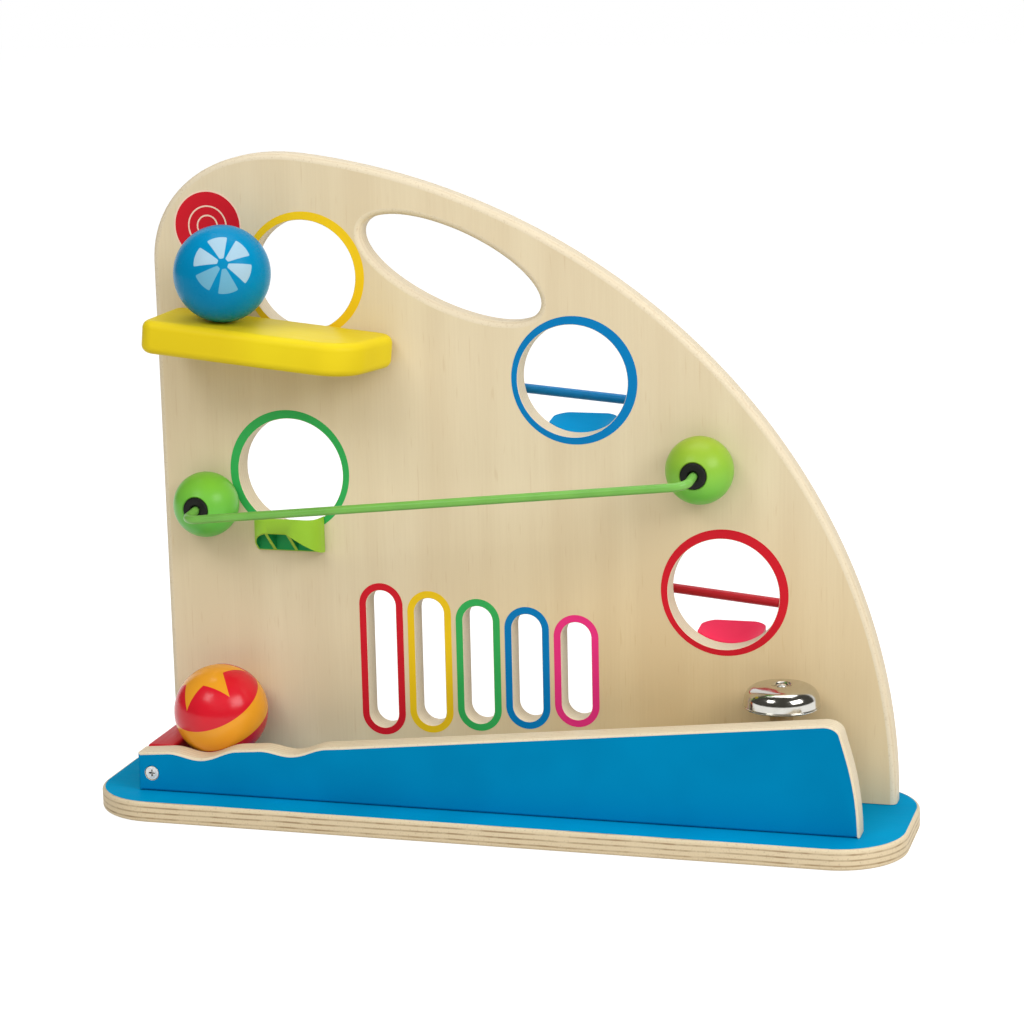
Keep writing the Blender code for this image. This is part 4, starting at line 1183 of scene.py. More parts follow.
@dataclass
class UprightPanel:
    """The tall panel: a quarter ellipse with a carry handle, four ball holes and five slots."""

    thickness: float = 12.0
    left: float = -176.6
    foot: float = 10.3
    edge: float = 3.0
    sweep_middle: Pair = (-143.3, 12.4)
    sweep_radii: Pair = (330.0, 303.9)
    sweep_steps: int = 90
    corner_start: float = 261.5
    corner_end: float = -100.0
    corner_pulls: Pair = (32.6, 46.6)  # the corner curve's handles, at the side and the top
    corner_steps: int = 28
    handle: Pair = (-26.1, 260.7)
    handle_radii: Pair = (47.3, 17.9)
    handle_tilt: float = radians(-23.5)
    hole: float = 26.75
    # A colour, the middle of the printed ring, and how far off it the hole is bored
    holes: tuple[tuple[str, Pair, Pair], ...] = (
        ("yellow", (-99.2, 256.2), (-0.7, -0.2)),
        ("green", (-110.1, 159.8), (0.5, -0.4)),
        ("blue", (33.7, 208.6), (-0.9, -0.3)),
        ("red", (105.0, 109.2), (-0.5, -0.8)),
    )
    slots: int = 5
    slot_first: Pair = (-65.5, 67.9)
    slot_pitch: float = 24.5
    slot_fall: float = 0.2
    slot_width: float = 14.9
    slot_height: float = 69.2
    slot_step: float = 5.2
    ring: float = 30.6
    slot_ring: float = 3.4
    bare: float = 0.25
    target: Pair = (-147.2, 279.3)
    target_rings: Triple = (16.9, 9.6, 5.1)  # radii of the pale rings
    target_line: float = 0.75
    film: float = 0.06
    film_sunk: float = 0.04

    def outline(self) -> list[Pair]:
        """Draws the panel's outline, down to a little below its foot.

        Returns:
            Its points in X and Z, anticlockwise.
        """
        (cx, cz), (rx, rz) = self.sweep_middle, self.sweep_radii
        meet = acos((self.corner_end - cx) / rx)
        top = Vector((self.corner_end, cz + rz * sin(meet)))
        along = Vector((rx * sin(meet), -rz * cos(meet))).normalized()
        start = Vector((self.left, self.corner_start))
        pull_up, pull_back = self.corner_pulls
        corner = interpolate_bezier(start, start + Vector((0, pull_up)), top - along * pull_back, top,
                                    self.corner_steps)
        sweep = [meet * (1 - i / self.sweep_steps) for i in range(1, self.sweep_steps)]
        low = self.foot - SAW_ROOM
        points = [(self.left, low)] + [(p.x, p.y) for p in corner]
        points += [(cx + rx * cos(a), cz + rz * sin(a)) for a in sweep] + [(cx + rx, low)]
        return points[::-1]

    def bores(self) -> dict[str, Pair]:
        """Gives the middle of each hole, which is bored a little off its printed ring."""
        return {colour: (x + dx, z + dz) for colour, (x, z), (dx, dz) in self.holes}

    def slot_places(self) -> list[tuple[Pair, float]]:
        """Works out where the slots are.

        Returns:
            The middle of each slot, and how far its round ends stand off it.
        """
        x, z = self.slot_first
        places = []
        for i in range(self.slots):
            height = self.slot_height - i * self.slot_step
            middle = (x + i * self.slot_pitch, z - i * self.slot_fall)
            places.append((middle, (height - self.slot_width) / 2))
        return places

    def build(self) -> None:
        """Makes the board, then what is printed on its front."""
        shape = bmesh.new()
        soft = closed_line(shape, self.outline())
        wide, high = self.handle_radii
        soft += round_line(shape, self.handle, wide, squash=high / wide, tilt=self.handle_tilt)
        for middle in self.bores().values():
            round_line(shape, middle, self.hole)
        for middle, rise in self.slot_places():
            round_line(shape, middle, self.slot_width / 2, rise, segments=48)
        make_board(shape, soft, self.thickness, self.edge)
        colour_faces(shape)
        move(shape, Face.FRONT.place(0, 0, -self.thickness / 2))
        saw_foot(shape, self.foot)
        add_piece(shape, "panel_ply", [BIRCH_FACE, PANEL_EDGE], ["upright_panel"])
        self.print_rings()
        self.print_target()

    def print_film(self, shape: BMesh, name: str, finish: Finish) -> None:
        """Gives flat print its thickness and lays it on the panel's front.

        Args:
            shape: The print, in the XY plane.
            name: The piece's name.
            finish: Its colour.
        """
        roof = bmesh.ops.extrude_face_region(shape, geom=shape.faces[:])["geom"]
        bmesh.ops.translate(shape, vec=(0, 0, self.film + self.film_sunk), verts=new_verts(roof))
        move(tidy(shape), Face.FRONT.place(0, 0, -self.film_sunk))
        add_piece(shape, name, [finish])

    def draw_ring(self, shape: BMesh, middle: Pair, radii: Pair, rise: float = 0.0,
                  segments: int = 72) -> None:
        """Draws a flat ring between two radii; the round ends of a slot's stand off its middle."""
        lines = [round_line(shape, middle, radius, rise, segments=segments) for radius in radii]
        bmesh.ops.bridge_loops(shape, edges=lines[0] + lines[1])

    def print_rings(self) -> None:
        """Prints a colour ring round each hole and each slot."""
        inks = {"yellow": YELLOW_PRINT, "green": GREEN_PRINT, "blue": BLUE_PRINT, "red": RED_PRINT}
        bores = self.bores()
        for colour, middle, _ in self.holes:
            shape = bmesh.new()
            inner = round_line(shape, bores[colour], self.hole + self.bare)
            outer = round_line(shape, middle, self.ring)
            bmesh.ops.bridge_loops(shape, edges=inner + outer)
            self.print_film(shape, f"{colour}_hole_ring", inks[colour])
        slot_inks = (RED_PRINT, YELLOW_PRINT, GREEN_PRINT, BLUE_PRINT, PINK_PRINT)
        for i, ((middle, rise), ink) in enumerate(zip(self.slot_places(), slot_inks)):
            shape = bmesh.new()
            inner = self.slot_width / 2 + self.bare
            self.draw_ring(shape, middle, (inner, inner + self.slot_ring), rise, segments=64)
            self.print_film(shape, f"slot_ring_{i + 1}", ink)

    def print_target(self) -> None:
        """Prints the red target with its thin pale rings."""
        half = self.target_line / 2
        outer, wide, narrow = self.target_rings
        red = bmesh.new()
        for radii in ((outer - half, wide + half), (wide - half, narrow + half)):
            self.draw_ring(red, self.target, radii)
        spot = round_line(red, self.target, narrow - half, segments=72)
        bmesh.ops.contextual_create(red, geom=spot)
        self.print_film(red, "target_red", RED_PRINT)
        pale = bmesh.new()
        for radius in self.target_rings:
            self.draw_ring(pale, self.target, (radius - half, radius + half))
        self.print_film(pale, "target_rings", PALE_PRINT)


@dataclass
class FrontFence:
    """The low fence whose sloping top edge is the last rail, with two scallops that park a ball."""

    left: float = -175.0
    right: float = 177.8
    front: float = -31.5
    thickness: float = 12.0
    foot: float = 10.3
    edge: float = 1.2
    ease: float = 1.2
    knee: Pair = (-69.5, 38.2)
    slopes: Pair = (0.088, 0.1062)  # left and right of the knee
    # The middle, depth and half length of each
    scallops: tuple[Triple, ...] = ((-141.8, 3.85, 18.0), (-95.3, 3.2, 17.0))
    scallop_steps: int = 16
    shoulder: Pair = (161.0, 169.0)  # where the top edge starts and ends its turn
    shoulder_drop: float = 4.0
    # The shoulder curve's handles
    shoulder_pulls: tuple[Pair, Pair] = ((4.8, 0.0), (-1.0, 2.0))
    end_pull: Pair = (4.0, -14.0)  # the end curve's upper handle
    end_rise: float = 22.0  # its lower handle's height above the foot
    curve_steps: tuple[int, int] = (12, 24)  # points along the shoulder and the end
    wrap: float = 0.3  # how far the low end's faces look to the front to take paint
    slant: float = 0.1  # a part of a normal that is above this counts
    near: float = 0.01

    def top(self, x: float) -> float:
        """Gives the height of the top edge, scallops and all.

        Args:
            x: Where along the fence.

        Returns:
            The height there.
        """
        knee_x, knee_z = self.knee
        height = knee_z + self.slopes[x > knee_x] * (x - knee_x)
        for middle, depth, half in self.scallops:
            if abs(x - middle) < half:
                height -= depth * (1 + cos(pi * (x - middle) / half)) / 2
        return height

    def outline(self) -> list[Pair]:
        """Draws the fence's outline, down to a little below its foot.

        Returns:
            Its points in X and Z, anticlockwise.
        """
        stations = [self.left]
        steps = self.scallop_steps
        for middle, _, half in self.scallops:
            stations += [middle + half * (i / steps - 1) for i in range(2 * steps + 1)]
        stations += [self.knee[0], self.shoulder[0]]
        top = [Vector((x, self.top(x))) for x in stations]
        crest = top[-1]
        turn = Vector((self.shoulder[1], crest.y - self.shoulder_drop))
        leave, meet = (Vector(pull) for pull in self.shoulder_pulls)
        over_steps, end_steps = self.curve_steps
        over = interpolate_bezier(crest, crest + leave, turn + meet, turn, over_steps)
        low = self.foot - SAW_ROOM
        foot, rise = (Vector((self.right, z)) for z in (low, self.foot + self.end_rise))
        end = interpolate_bezier(turn, turn + Vector(self.end_pull), rise, foot, end_steps)
        points = top + over[1:] + end[1:]
        return ([(self.left, low)] + [(p.x, p.y) for p in points])[::-1]

    def build(self, screws: Screws) -> None:
        """Makes the board, blue in front and bare elsewhere, and sinks its screw hole.

        Args:
            screws: The screws, one of which shows in its front.
        """
        shape = bmesh.new()
        make_board(shape, closed_line(shape, self.outline()), self.thickness, self.edge, steps=4)
        colour_faces(shape)
        middle = self.front + self.thickness / 2
        move(shape, Matrix.Translation((0, middle, 0)) @ Matrix.Rotation(pi / 2, 4, "X"))
        saw_foot(shape, self.foot)
        foot, front = self.foot + self.near, self.front + self.near
        low = [e for e in shape.edges if all(v.co.z < foot and v.co.y < front for v in e.verts)]
        round_off(shape, low, self.ease, steps=4)
        shape = carve(shape, screws.fence_hole())
        for face in shape.faces:
            face.material_index = self.finish_of(face.normal)
        add_piece(shape, "fence_ply", [BLUE_BOARD, FENCE_EDGE, BIRCH_LONG], ["front_fence"])

    def finish_of(self, normal: Vector) -> int:
        """Says where the paint goes: over the front, and round its low end and its foot.

        Args:
            normal: Which way a face of the fence looks.

        Returns:
            The number of the face's finish: 0 is paint, 1 the sawn edge and 2 the bare back.
        """
        x, y, z = normal
        low_end = y < -self.wrap and x < 0 and abs(z) < self.slant
        eased_foot = y < -self.slant and z < -self.slant
        if y < -LEVEL or low_end or eased_foot:
            return 0
        return 2 if y > LEVEL else 1


@dataclass
class EndStop:
    """The red block that closes the low end, between the fence and the panel."""

    low: Triple = (-175.0, -19.2, 10.3)
    high: Triple = (-161.0, 19.7, 29.6)
    edge: float = 1.5

    def build(self) -> None:
        """Makes a block with rounded edges."""
        shape = bmesh.new()
        bmesh.ops.create_cube(shape, size=1)
        low, high = Vector(self.low), Vector(self.high)
        move(shape, Matrix.Translation((low + high) / 2) @ Matrix.Diagonal((*(high - low), 1)))
        round_off(shape, shape.edges[:], self.edge, steps=4)
        add_piece(shape, "end_stop_block", [RED_WOOD], ["end_stop"])


@dataclass
class StartShelf:
    """The yellow shelf that slopes down to the first hole, with heavily rounded edges."""

    left: float = -165.0
    front_corner: float = -61.0
    right: float = -51.0
    back: float = 19.7
    front: float = -28.0
    thickness: float = 16.0
    edge: float = 4.0
    tilt: float = radians(5.8)
    pivot: Pair = (-132.0, 237.2)
    corners: tuple[float, ...] = (5.5, 7.0, 17.0, 10.0)  # radii, from the back left round the front

    def build(self) -> None:
        """Rounds a four-cornered sheet, makes it a board and tilts it about the ball's place."""
        shape = bmesh.new()
        places = [(self.left, self.back), (self.left, self.front), (self.front_corner, self.front),
                  (self.right, self.back)]
        pivot_x, pivot_z = self.pivot
        verts = [shape.verts.new(((x - pivot_x) / cos(self.tilt), y, 0)) for x, y in places]
        shape.faces.new(verts)
        for vert, radius in zip(verts, self.corners):
            round_off(shape, [vert], radius, steps=10, what=Round.CORNERS)
        bmesh.ops.delete(shape, geom=shape.faces[:], context="FACES_ONLY")
        make_board(shape, shape.edges[:], self.thickness, self.edge, steps=8)
        slope = Matrix.Rotation(self.tilt, 4, "Y") @ Matrix.Translation((0, 0, -self.thickness / 2))
        move(shape, Matrix.Translation((pivot_x, 0, pivot_z)) @ slope)
        add_piece(shape, "start_shelf_board", [YELLOW_WOOD], ["start_shelf"])
        for side in ("left", "right"):
            carry_over(f"shelf_dowel_{side}", BEECH)


@dataclass
class Rail:
    """A staple of enamelled wire, held by two turned knobs with rubber bushes."""

    colour: str
    face: Face
    left: Pair
    right: Pair
    wire_finish: Finish
    knob_finishes: tuple[KnobPaintLitAndShaded, KnobPaintLitAndShaded]
    wire: float = 2.05
    stand_off: float = 41.0
    drop: float = 1.6
    bend: float = 7.0
    wire_start: float = 19.0
    knob: float = 16.0
    knob_middle: float = 11.0
    knob_steps: int = 40
    knob_lip: Pair = (0.5, 0.35)  # how far the bore's lip is softened, across and down
    knob_back: Pair = (0.5, 0.05)  # how far the back's edge is softened, in mm and radians
    bush: float = 6.2
    bush_bore: float = 2.5
    bush_span: Pair = (18.0, 26.3)  # from and to, out from the panel
    bush_play: float = 0.15
    bush_soft: Pair = (1.0, 0.6)  # radii of its outer and inner edge
    gap: float = 0.3

    def wire_points(self) -> list[Vector]:
        """Draws the wire's path, whose run hangs a little below the knobs.

        Returns:
            Its ends and corners.
        """
        pivot = sum(self.bush_span) / 2
        lean = self.drop / (self.stand_off - pivot)
        out = -1 if self.face is Face.FRONT else 1
        points = []
        for (x, z), off in ((self.left, self.wire_start), (self.left, self.stand_off),
                            (self.right, self.stand_off), (self.right, self.wire_start)):
            points.append(Vector((x, self.face.value + out * off, z - lean * (off - pivot))))
        return points

    def knob_profile(self) -> list[Pair]:
        """Draws half a knob: the bush's bore, a softened lip, the ball and the flat back.

        Returns:
            Radius and height of each point.
        """
        bore = self.bush + self.bush_play
        lip_wide, lip_deep = self.knob_lip
        inset, early = self.knob_back
        lip = asin((bore + lip_wide) / self.knob)
        foot = pi - acos((self.knob_middle - self.gap) / self.knob)
        steps = self.knob_steps
        angles = [lip + (foot - early - lip) * i / steps for i in range(steps + 1)]
        ball = [(self.knob * sin(a), self.knob_middle + self.knob * cos(a)) for a in angles]
        lip_low = (bore, ball[0][1] - lip_deep)
        back = self.knob * sin(foot) - inset
        floor = self.bush_span[0] - self.gap
        return [(0, floor), (bore, floor), lip_low] + ball + [(back, self.gap), (0, self.gap)]

    def bush_profile(self) -> list[Pair]:
        """Draws half a bush: a ring with soft edges, open in the middle for the wire.

        Returns:
            Radius and height of each point.
        """
        low, high = self.bush_span
        wide, tight = self.bush_soft
        outer = arc((self.bush - wide, high - wide), wide, 90, 0, steps=6)
        inner = arc((self.bush_bore + tight, high - tight), tight, 180, 90, steps=5)
        return inner + outer + [(self.bush, low), (self.bush_bore, low), inner[0]]

    def build(self) -> None:
        """Makes the wire, its knobs and its bushes, and finishes the dowels behind them."""
        wire = bent_wire(self.wire_points(), self.wire, self.bend)
        name = self.colour
        add_piece(wire, f"{name}_rail_wire", [self.wire_finish], [f"{name}_wire"])
        ends = zip(("left", "right"), (self.left, self.right), self.knob_finishes)
        for side, (x, z), paint in ends:
            place = self.face.place(x, z)
            knob = move(turned(self.knob_profile(), steps=72), place)
            paint = replace(paint, name=f"{paint.name}_{side}", middle=(x, self.face.value, z))
            add_piece(knob, f"{name}_turned_knob_{side}", [paint], [f"{name}_knob_{side}"])
            bush = move(turned(self.bush_profile(), steps=48), place)
            add_piece(bush, f"{name}_rubber_bush_{side}", [RUBBER], [f"{name}_bush_{side}"])
            carry_over(f"{name}_dowel_{side}", BEECH)


@dataclass
class Scoop:
    """A moulded scoop below a hole: a trough with a rounded apron, hollow and ribbed underneath."""

    colour: str
    face: Face
    hole: Pair
    finish: Finish
    hollow: Finish
    drop: float = 27.0
    width: float = 34.0
    reach: float = 15.0
    rise: float = 6.8
    foot: float = -12.0
    wall: float = 1.6
    apron: float = -0.5
    corner: float = 10.5
    cheek_start: float = 2.0
    cheek_corner: Triple = (14.3, -8.2, 14.0)
    rib: float = 1.6
    ribs: Pair = (-8.1, 3.0)  # where they stand across
    tray: float = 2.0
    pocket_ends: Pair = (0.2, 2.0)  # walls behind and in front of a pocket
    gap: float = 0.3
    soft: float = 0.25
    sharp: float = radians(35)  # edges that turn by more than this are softened
    crease: float = 50.0
    near: float = 0.1
    dish_steps: int = 16

    def build(self) -> None:
        """Makes a block, rounds its front, saws it below, sinks three pockets and dishes its top."""
        shape = bmesh.new()
        half = self.width / 2
        section = [(self.gap, self.foot), (self.reach, self.foot), (self.reach, self.rise),
                   (self.gap, -self.gap)]
        start = shape.faces.new([shape.verts.new((-half, up, out)) for out, up in section])
        made = bmesh.ops.extrude_face_region(shape, geom=[start])["geom"]
        bmesh.ops.translate(shape, vec=(self.width, 0, 0), verts=new_verts(made))
        tidy(shape)
        front = [e for e in shape.edges if all(v.co.z > self.reach - self.near for v in e.verts)
                 and abs(e.verts[0].co.x - e.verts[1].co.x) < self.near]
        round_off(shape, front, self.corner, steps=14)
        shape = carve(shape, self.waste())
        shape.normal_update()
        self.sink_pockets(shape)
        self.dish(shape)
        sharp = [edge for edge in shape.edges if edge.calc_face_angle(0.0) > self.sharp]
        round_off(shape, sharp, self.soft, steps=2, clamp=True)
        x, z = self.hole
        move(tidy(shape), self.face.place(x, z - self.drop))
        name = f"{self.colour}_moulded_scoop"
        nodes = [f"{self.colour}_scoop"]
        add_piece(shape, name, [self.finish, self.hollow], nodes, crease=self.crease)

    def waste(self) -> BMesh:
        """Gives what is sawn off below: under the slanting underside, and under the cheek on the right.

        Returns:
            The closed shape, with +Z out of the panel and +Y up.
        """
        waste = bmesh.new()
        bmesh.ops.create_cube(waste, size=4 * self.width)
        half = self.width / 2
        back_left, back_right = (Vector((x, self.foot, self.wall)) for x in (-half, half))
        front = Vector((self.cheek_start, self.apron, self.reach))
        cheek = Vector(self.cheek_corner)
        for first, second, third in ((back_left, back_right, front), (front, back_right, cheek)):
            way = (second - first).cross(third - first)
            way *= 1 if way.y > 0 else -1
            cut_off(waste, first, way)
        return tidy(waste)

    def part_face(self, shape: BMesh, way: Vector, places: Iterable[float]) -> list[BMFace]:
        """Parts the faces that look one way at some places across.

        Args:
            shape: The scoop.
            way: The way that the faces look.
            places: Where they are parted.

        Returns:
            The parts.
        """
        for x in places:
            found = [face for face in shape.faces if face.normal.dot(way) > ALIKE]
            parts = found + list({part for face in found for part in (*face.edges, *face.verts)})
            bmesh.ops.bisect_plane(shape, geom=parts, dist=MERGE, plane_co=(x, 0, 0), plane_no=(1, 0, 0))
            shape.normal_update()
        return [face for face in shape.faces if face.normal.dot(way) > ALIKE]

    def dish(self, shape: BMesh) -> None:
        """Raises the top's sides, so that it meets the panel along the hole's round edge.

        Args:
            shape: The scoop, with +Z out of the panel and +Y up.
        """
        way = Vector((0, self.reach - self.gap, -self.rise - self.gap)).normalized()
        last = self.dish_steps // 2 - 1
        places = [i * self.width / self.dish_steps for i in range(-last, last + 1)]
        top = self.part_face(shape, way, places)
        radius = self.drop
        for vert in verts_of(top):
            share = (self.reach - vert.co.z) / (self.reach - self.gap)
            vert.co.y += share * (radius - sqrt(radius * radius - vert.co.x ** 2))
        bmesh.ops.triangulate(shape, faces=top)

    def sink_pockets(self, shape: BMesh) -> None:
        """Parts the slanting underside by two ribs and sinks what is between up to the tray.

        Args:
            shape: The wedge, with +Z out of the panel and +Y up.
        """
        way = Vector((0, self.wall - self.reach, self.apron - self.foot)).normalized()
        under = self.part_face(shape, way, self.ribs)
        bmesh.ops.inset_individual(shape, faces=under, thickness=self.rib / 2, use_even_offset=True)
        floors = bmesh.ops.extrude_discrete_faces(shape, faces=under)["faces"]
        verts = verts_of(floors)
        low = min(vert.co.z for vert in verts)
        high = max(vert.co.z for vert in verts)
        slope = (self.rise + self.gap) / self.reach
        back_end, front_end = self.pocket_ends
        near, far = low + back_end, self.reach - front_end
        stretch = (far - near) / (high - low)
        under_tray = -self.tray * sqrt(1 + slope * slope)
        flatten = Matrix((
            (1, 0, 0, 0),
            (0, 0, slope * stretch, under_tray + slope * (near - low * stretch)),
            (0, 0, stretch, near - low * stretch),
            (0, 0, 0, 1),
        ))
        bmesh.ops.transform(shape, matrix=flatten, verts=verts)
        # The pockets take the hollow finish: a deeper colour with painted shade.
        for face in {face for vert in verts for face in vert.link_faces}:
            face.material_index = 1


@dataclass
class Bell:
    """A shallow chrome cup that turns on its post, under a domed screw."""

    at: Pair = (136.0, 0.0)
    rim: float = 61.5
    radius: float = 18.2
    height: float = 10.5
    wall: float = 1.0
    rim_height: float = 3.9
    draft: float = radians(5.2)
    crown: float = 9.7
    crown_lean: float = radians(84)
    dish: Pair = (5.3, 4.2)  # radius of its edge and of its floor
    dish_depth: float = 1.1
    dish_rim: tuple[Pair, ...] = ((-0.3, -0.15), (0.2, 0.0), (1.2, -0.05))  # out from its edge, and up
    crown_fall: Pair = (9.0, 0.35)  # a radius, and how far the crown has fallen there
    bead: Pair = (1.0, 0.3)  # how tall it is and how far it stands proud
    bead_neck: Pair = (0.35, 0.2)  # two heights of the wall above it
    bead_groove: float = 0.12
    lip_rise: float = 0.4
    roof_drop: float = 0.2
    boss: float = 1.6  # how thick the crown is at the bore, in walls
    bore: float = 2.0
    post: float = 5.5
    post_foot: float = 10.3
    post_top: float = 69.2
    post_soft: float = 0.5
    screw_head: float = 2.3
    screw_rise: float = 1.4
    screw_shank: float = 1.8
    screw_depth: float = 12.0
    screw_gap: float = 0.05
    screw_steps: int = 12
    screw_cross: Triple = (1.1, 0.3, 0.6)

    def cup_profile(self) -> list[Pair]:
        """Draws half the cup: a dish stamped in the crown, a shoulder, a rolled bead and the inside.

        Returns:
            Radius and height of each point, from the bore round to the bore again.
        """
        tall, proud = self.bead
        turn = (self.crown - self.rim_height) / (sin(self.crown_lean) - sin(self.draft))
        neck = self.radius - proud - self.rim_height * tan(self.draft)
        middle = (neck - turn * cos(self.draft), self.rim_height - turn * sin(self.draft))
        top, (edge, floor) = self.height, self.dish
        low = top - self.dish_depth
        crown = [(self.bore, low), (floor, low)] + [(edge + out, top + up) for out, up in self.dish_rim]
        crown.append((self.crown_fall[0], top - self.crown_fall[1]))
        lean, draft = (round(a * 180 / pi, 3) for a in (self.crown_lean, self.draft))
        outer = arc(middle, turn, lean, draft, steps=18)
        inner = arc(middle, turn - self.wall, 0, lean, steps=12)
        heights = [tall + neck_rise for neck_rise in self.bead_neck]
        wall = [(self.radius - proud - z * tan(self.draft), z) for z in heights]
        groove = (wall[1][0] - self.bead_groove, tall)
        roll = arc((self.radius - tall / 2, tall / 2), tall / 2, 60, -90, steps=8)
        inside = self.radius - self.wall
        lip = wall + [groove] + roll + [(inside, 0.0), (inside - proud, self.lip_rise)]
        under = [(edge, top - self.wall - self.roof_drop), (self.bore, top - self.boss * self.wall)]
        return crown + outer + lip + inner + under + crown[:1]

    def build(self) -> None:
        """Makes the cup, its screw and its post, and finishes the washer between them."""
        x, y = self.at
        cup = move(turned(self.cup_profile(), steps=96), Matrix.Translation((x, y, self.rim)))
        add_piece(cup, "bell_chrome_cup", [CHROME], ["bell_dome"], Body.BELL)
        seat = self.rim + self.height - self.dish_depth + self.screw_gap
        tip = self.post_top - self.screw_depth
        angles = [pi / 2 * i / self.screw_steps for i in range(self.screw_steps + 1)]
        dome = [(self.screw_head * sin(a), seat + self.screw_rise * cos(a)) for a in angles]
        half = dome + [(self.screw_shank, seat), (self.screw_shank, tip), (0, tip)]
        screw = turned(half, steps=48)
        key = Screws(cross=self.screw_cross).cross_key(seat + self.screw_rise)
        screw = move(carve(screw, key), Matrix.Translation((x, y, 0)))
        add_piece(screw, "bell_domed_screw", [ZINC], ["bell_screw"])
        profile = [(0, self.post_foot), (self.post, self.post_foot),
                   (self.post, self.post_top - self.post_soft),
                   (self.post - self.post_soft, self.post_top), (0, self.post_top)]
        post = move(turned(profile, steps=48), Matrix.Translation((x, y, 0)))
        add_piece(post, "bell_turned_post", [BEECH], ["bell_post"])
        carry_over("bell_washer", FELT)


@dataclass
class Ball:
    """A turned and painted wooden ball."""

    node: str
    body: Body
    finish: PatternedBall
    radius: float = 23.0

    def build(self) -> None:
        """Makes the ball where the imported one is."""
        shape = bmesh.new()
        bmesh.ops.create_icosphere(shape, subdivisions=6, radius=self.radius,
                                   matrix=Matrix.Translation(self.finish.middle))
        add_piece(shape, f"{self.node}_painted", [self.finish], [self.node], self.body)


@dataclass(frozen=True)
class SoftBox:
    """A soft light: which way and how far off it hangs, its watts and size, and if mirrors show it."""

    name: str
    way: Triple
    power: float
    distance: float = 2.0
    size: Pair = (1.0, 1.0)
    mirrored: bool = True

    def hang(self, middle: Vector) -> None:
        """Hangs the light, turned to the object.

        Args:
            middle: The middle of the object, in metres.
        """
        data = bpy.data.lights.new(self.name, "AREA")
        data.shape = "RECTANGLE"
        data.size, data.size_y = self.size
        data.energy = self.power
        box = bpy.data.objects.new(self.name, data)
        way = Vector(self.way).normalized()
        turn = way.to_track_quat("Z", "Y").to_matrix().to_4x4()
        box.matrix_world = Matrix.Translation(middle + way * self.distance) @ turn
        box.visible_camera = False
        box.visible_glossy = self.mirrored
        bpy.context.scene.collection.objects.link(box)


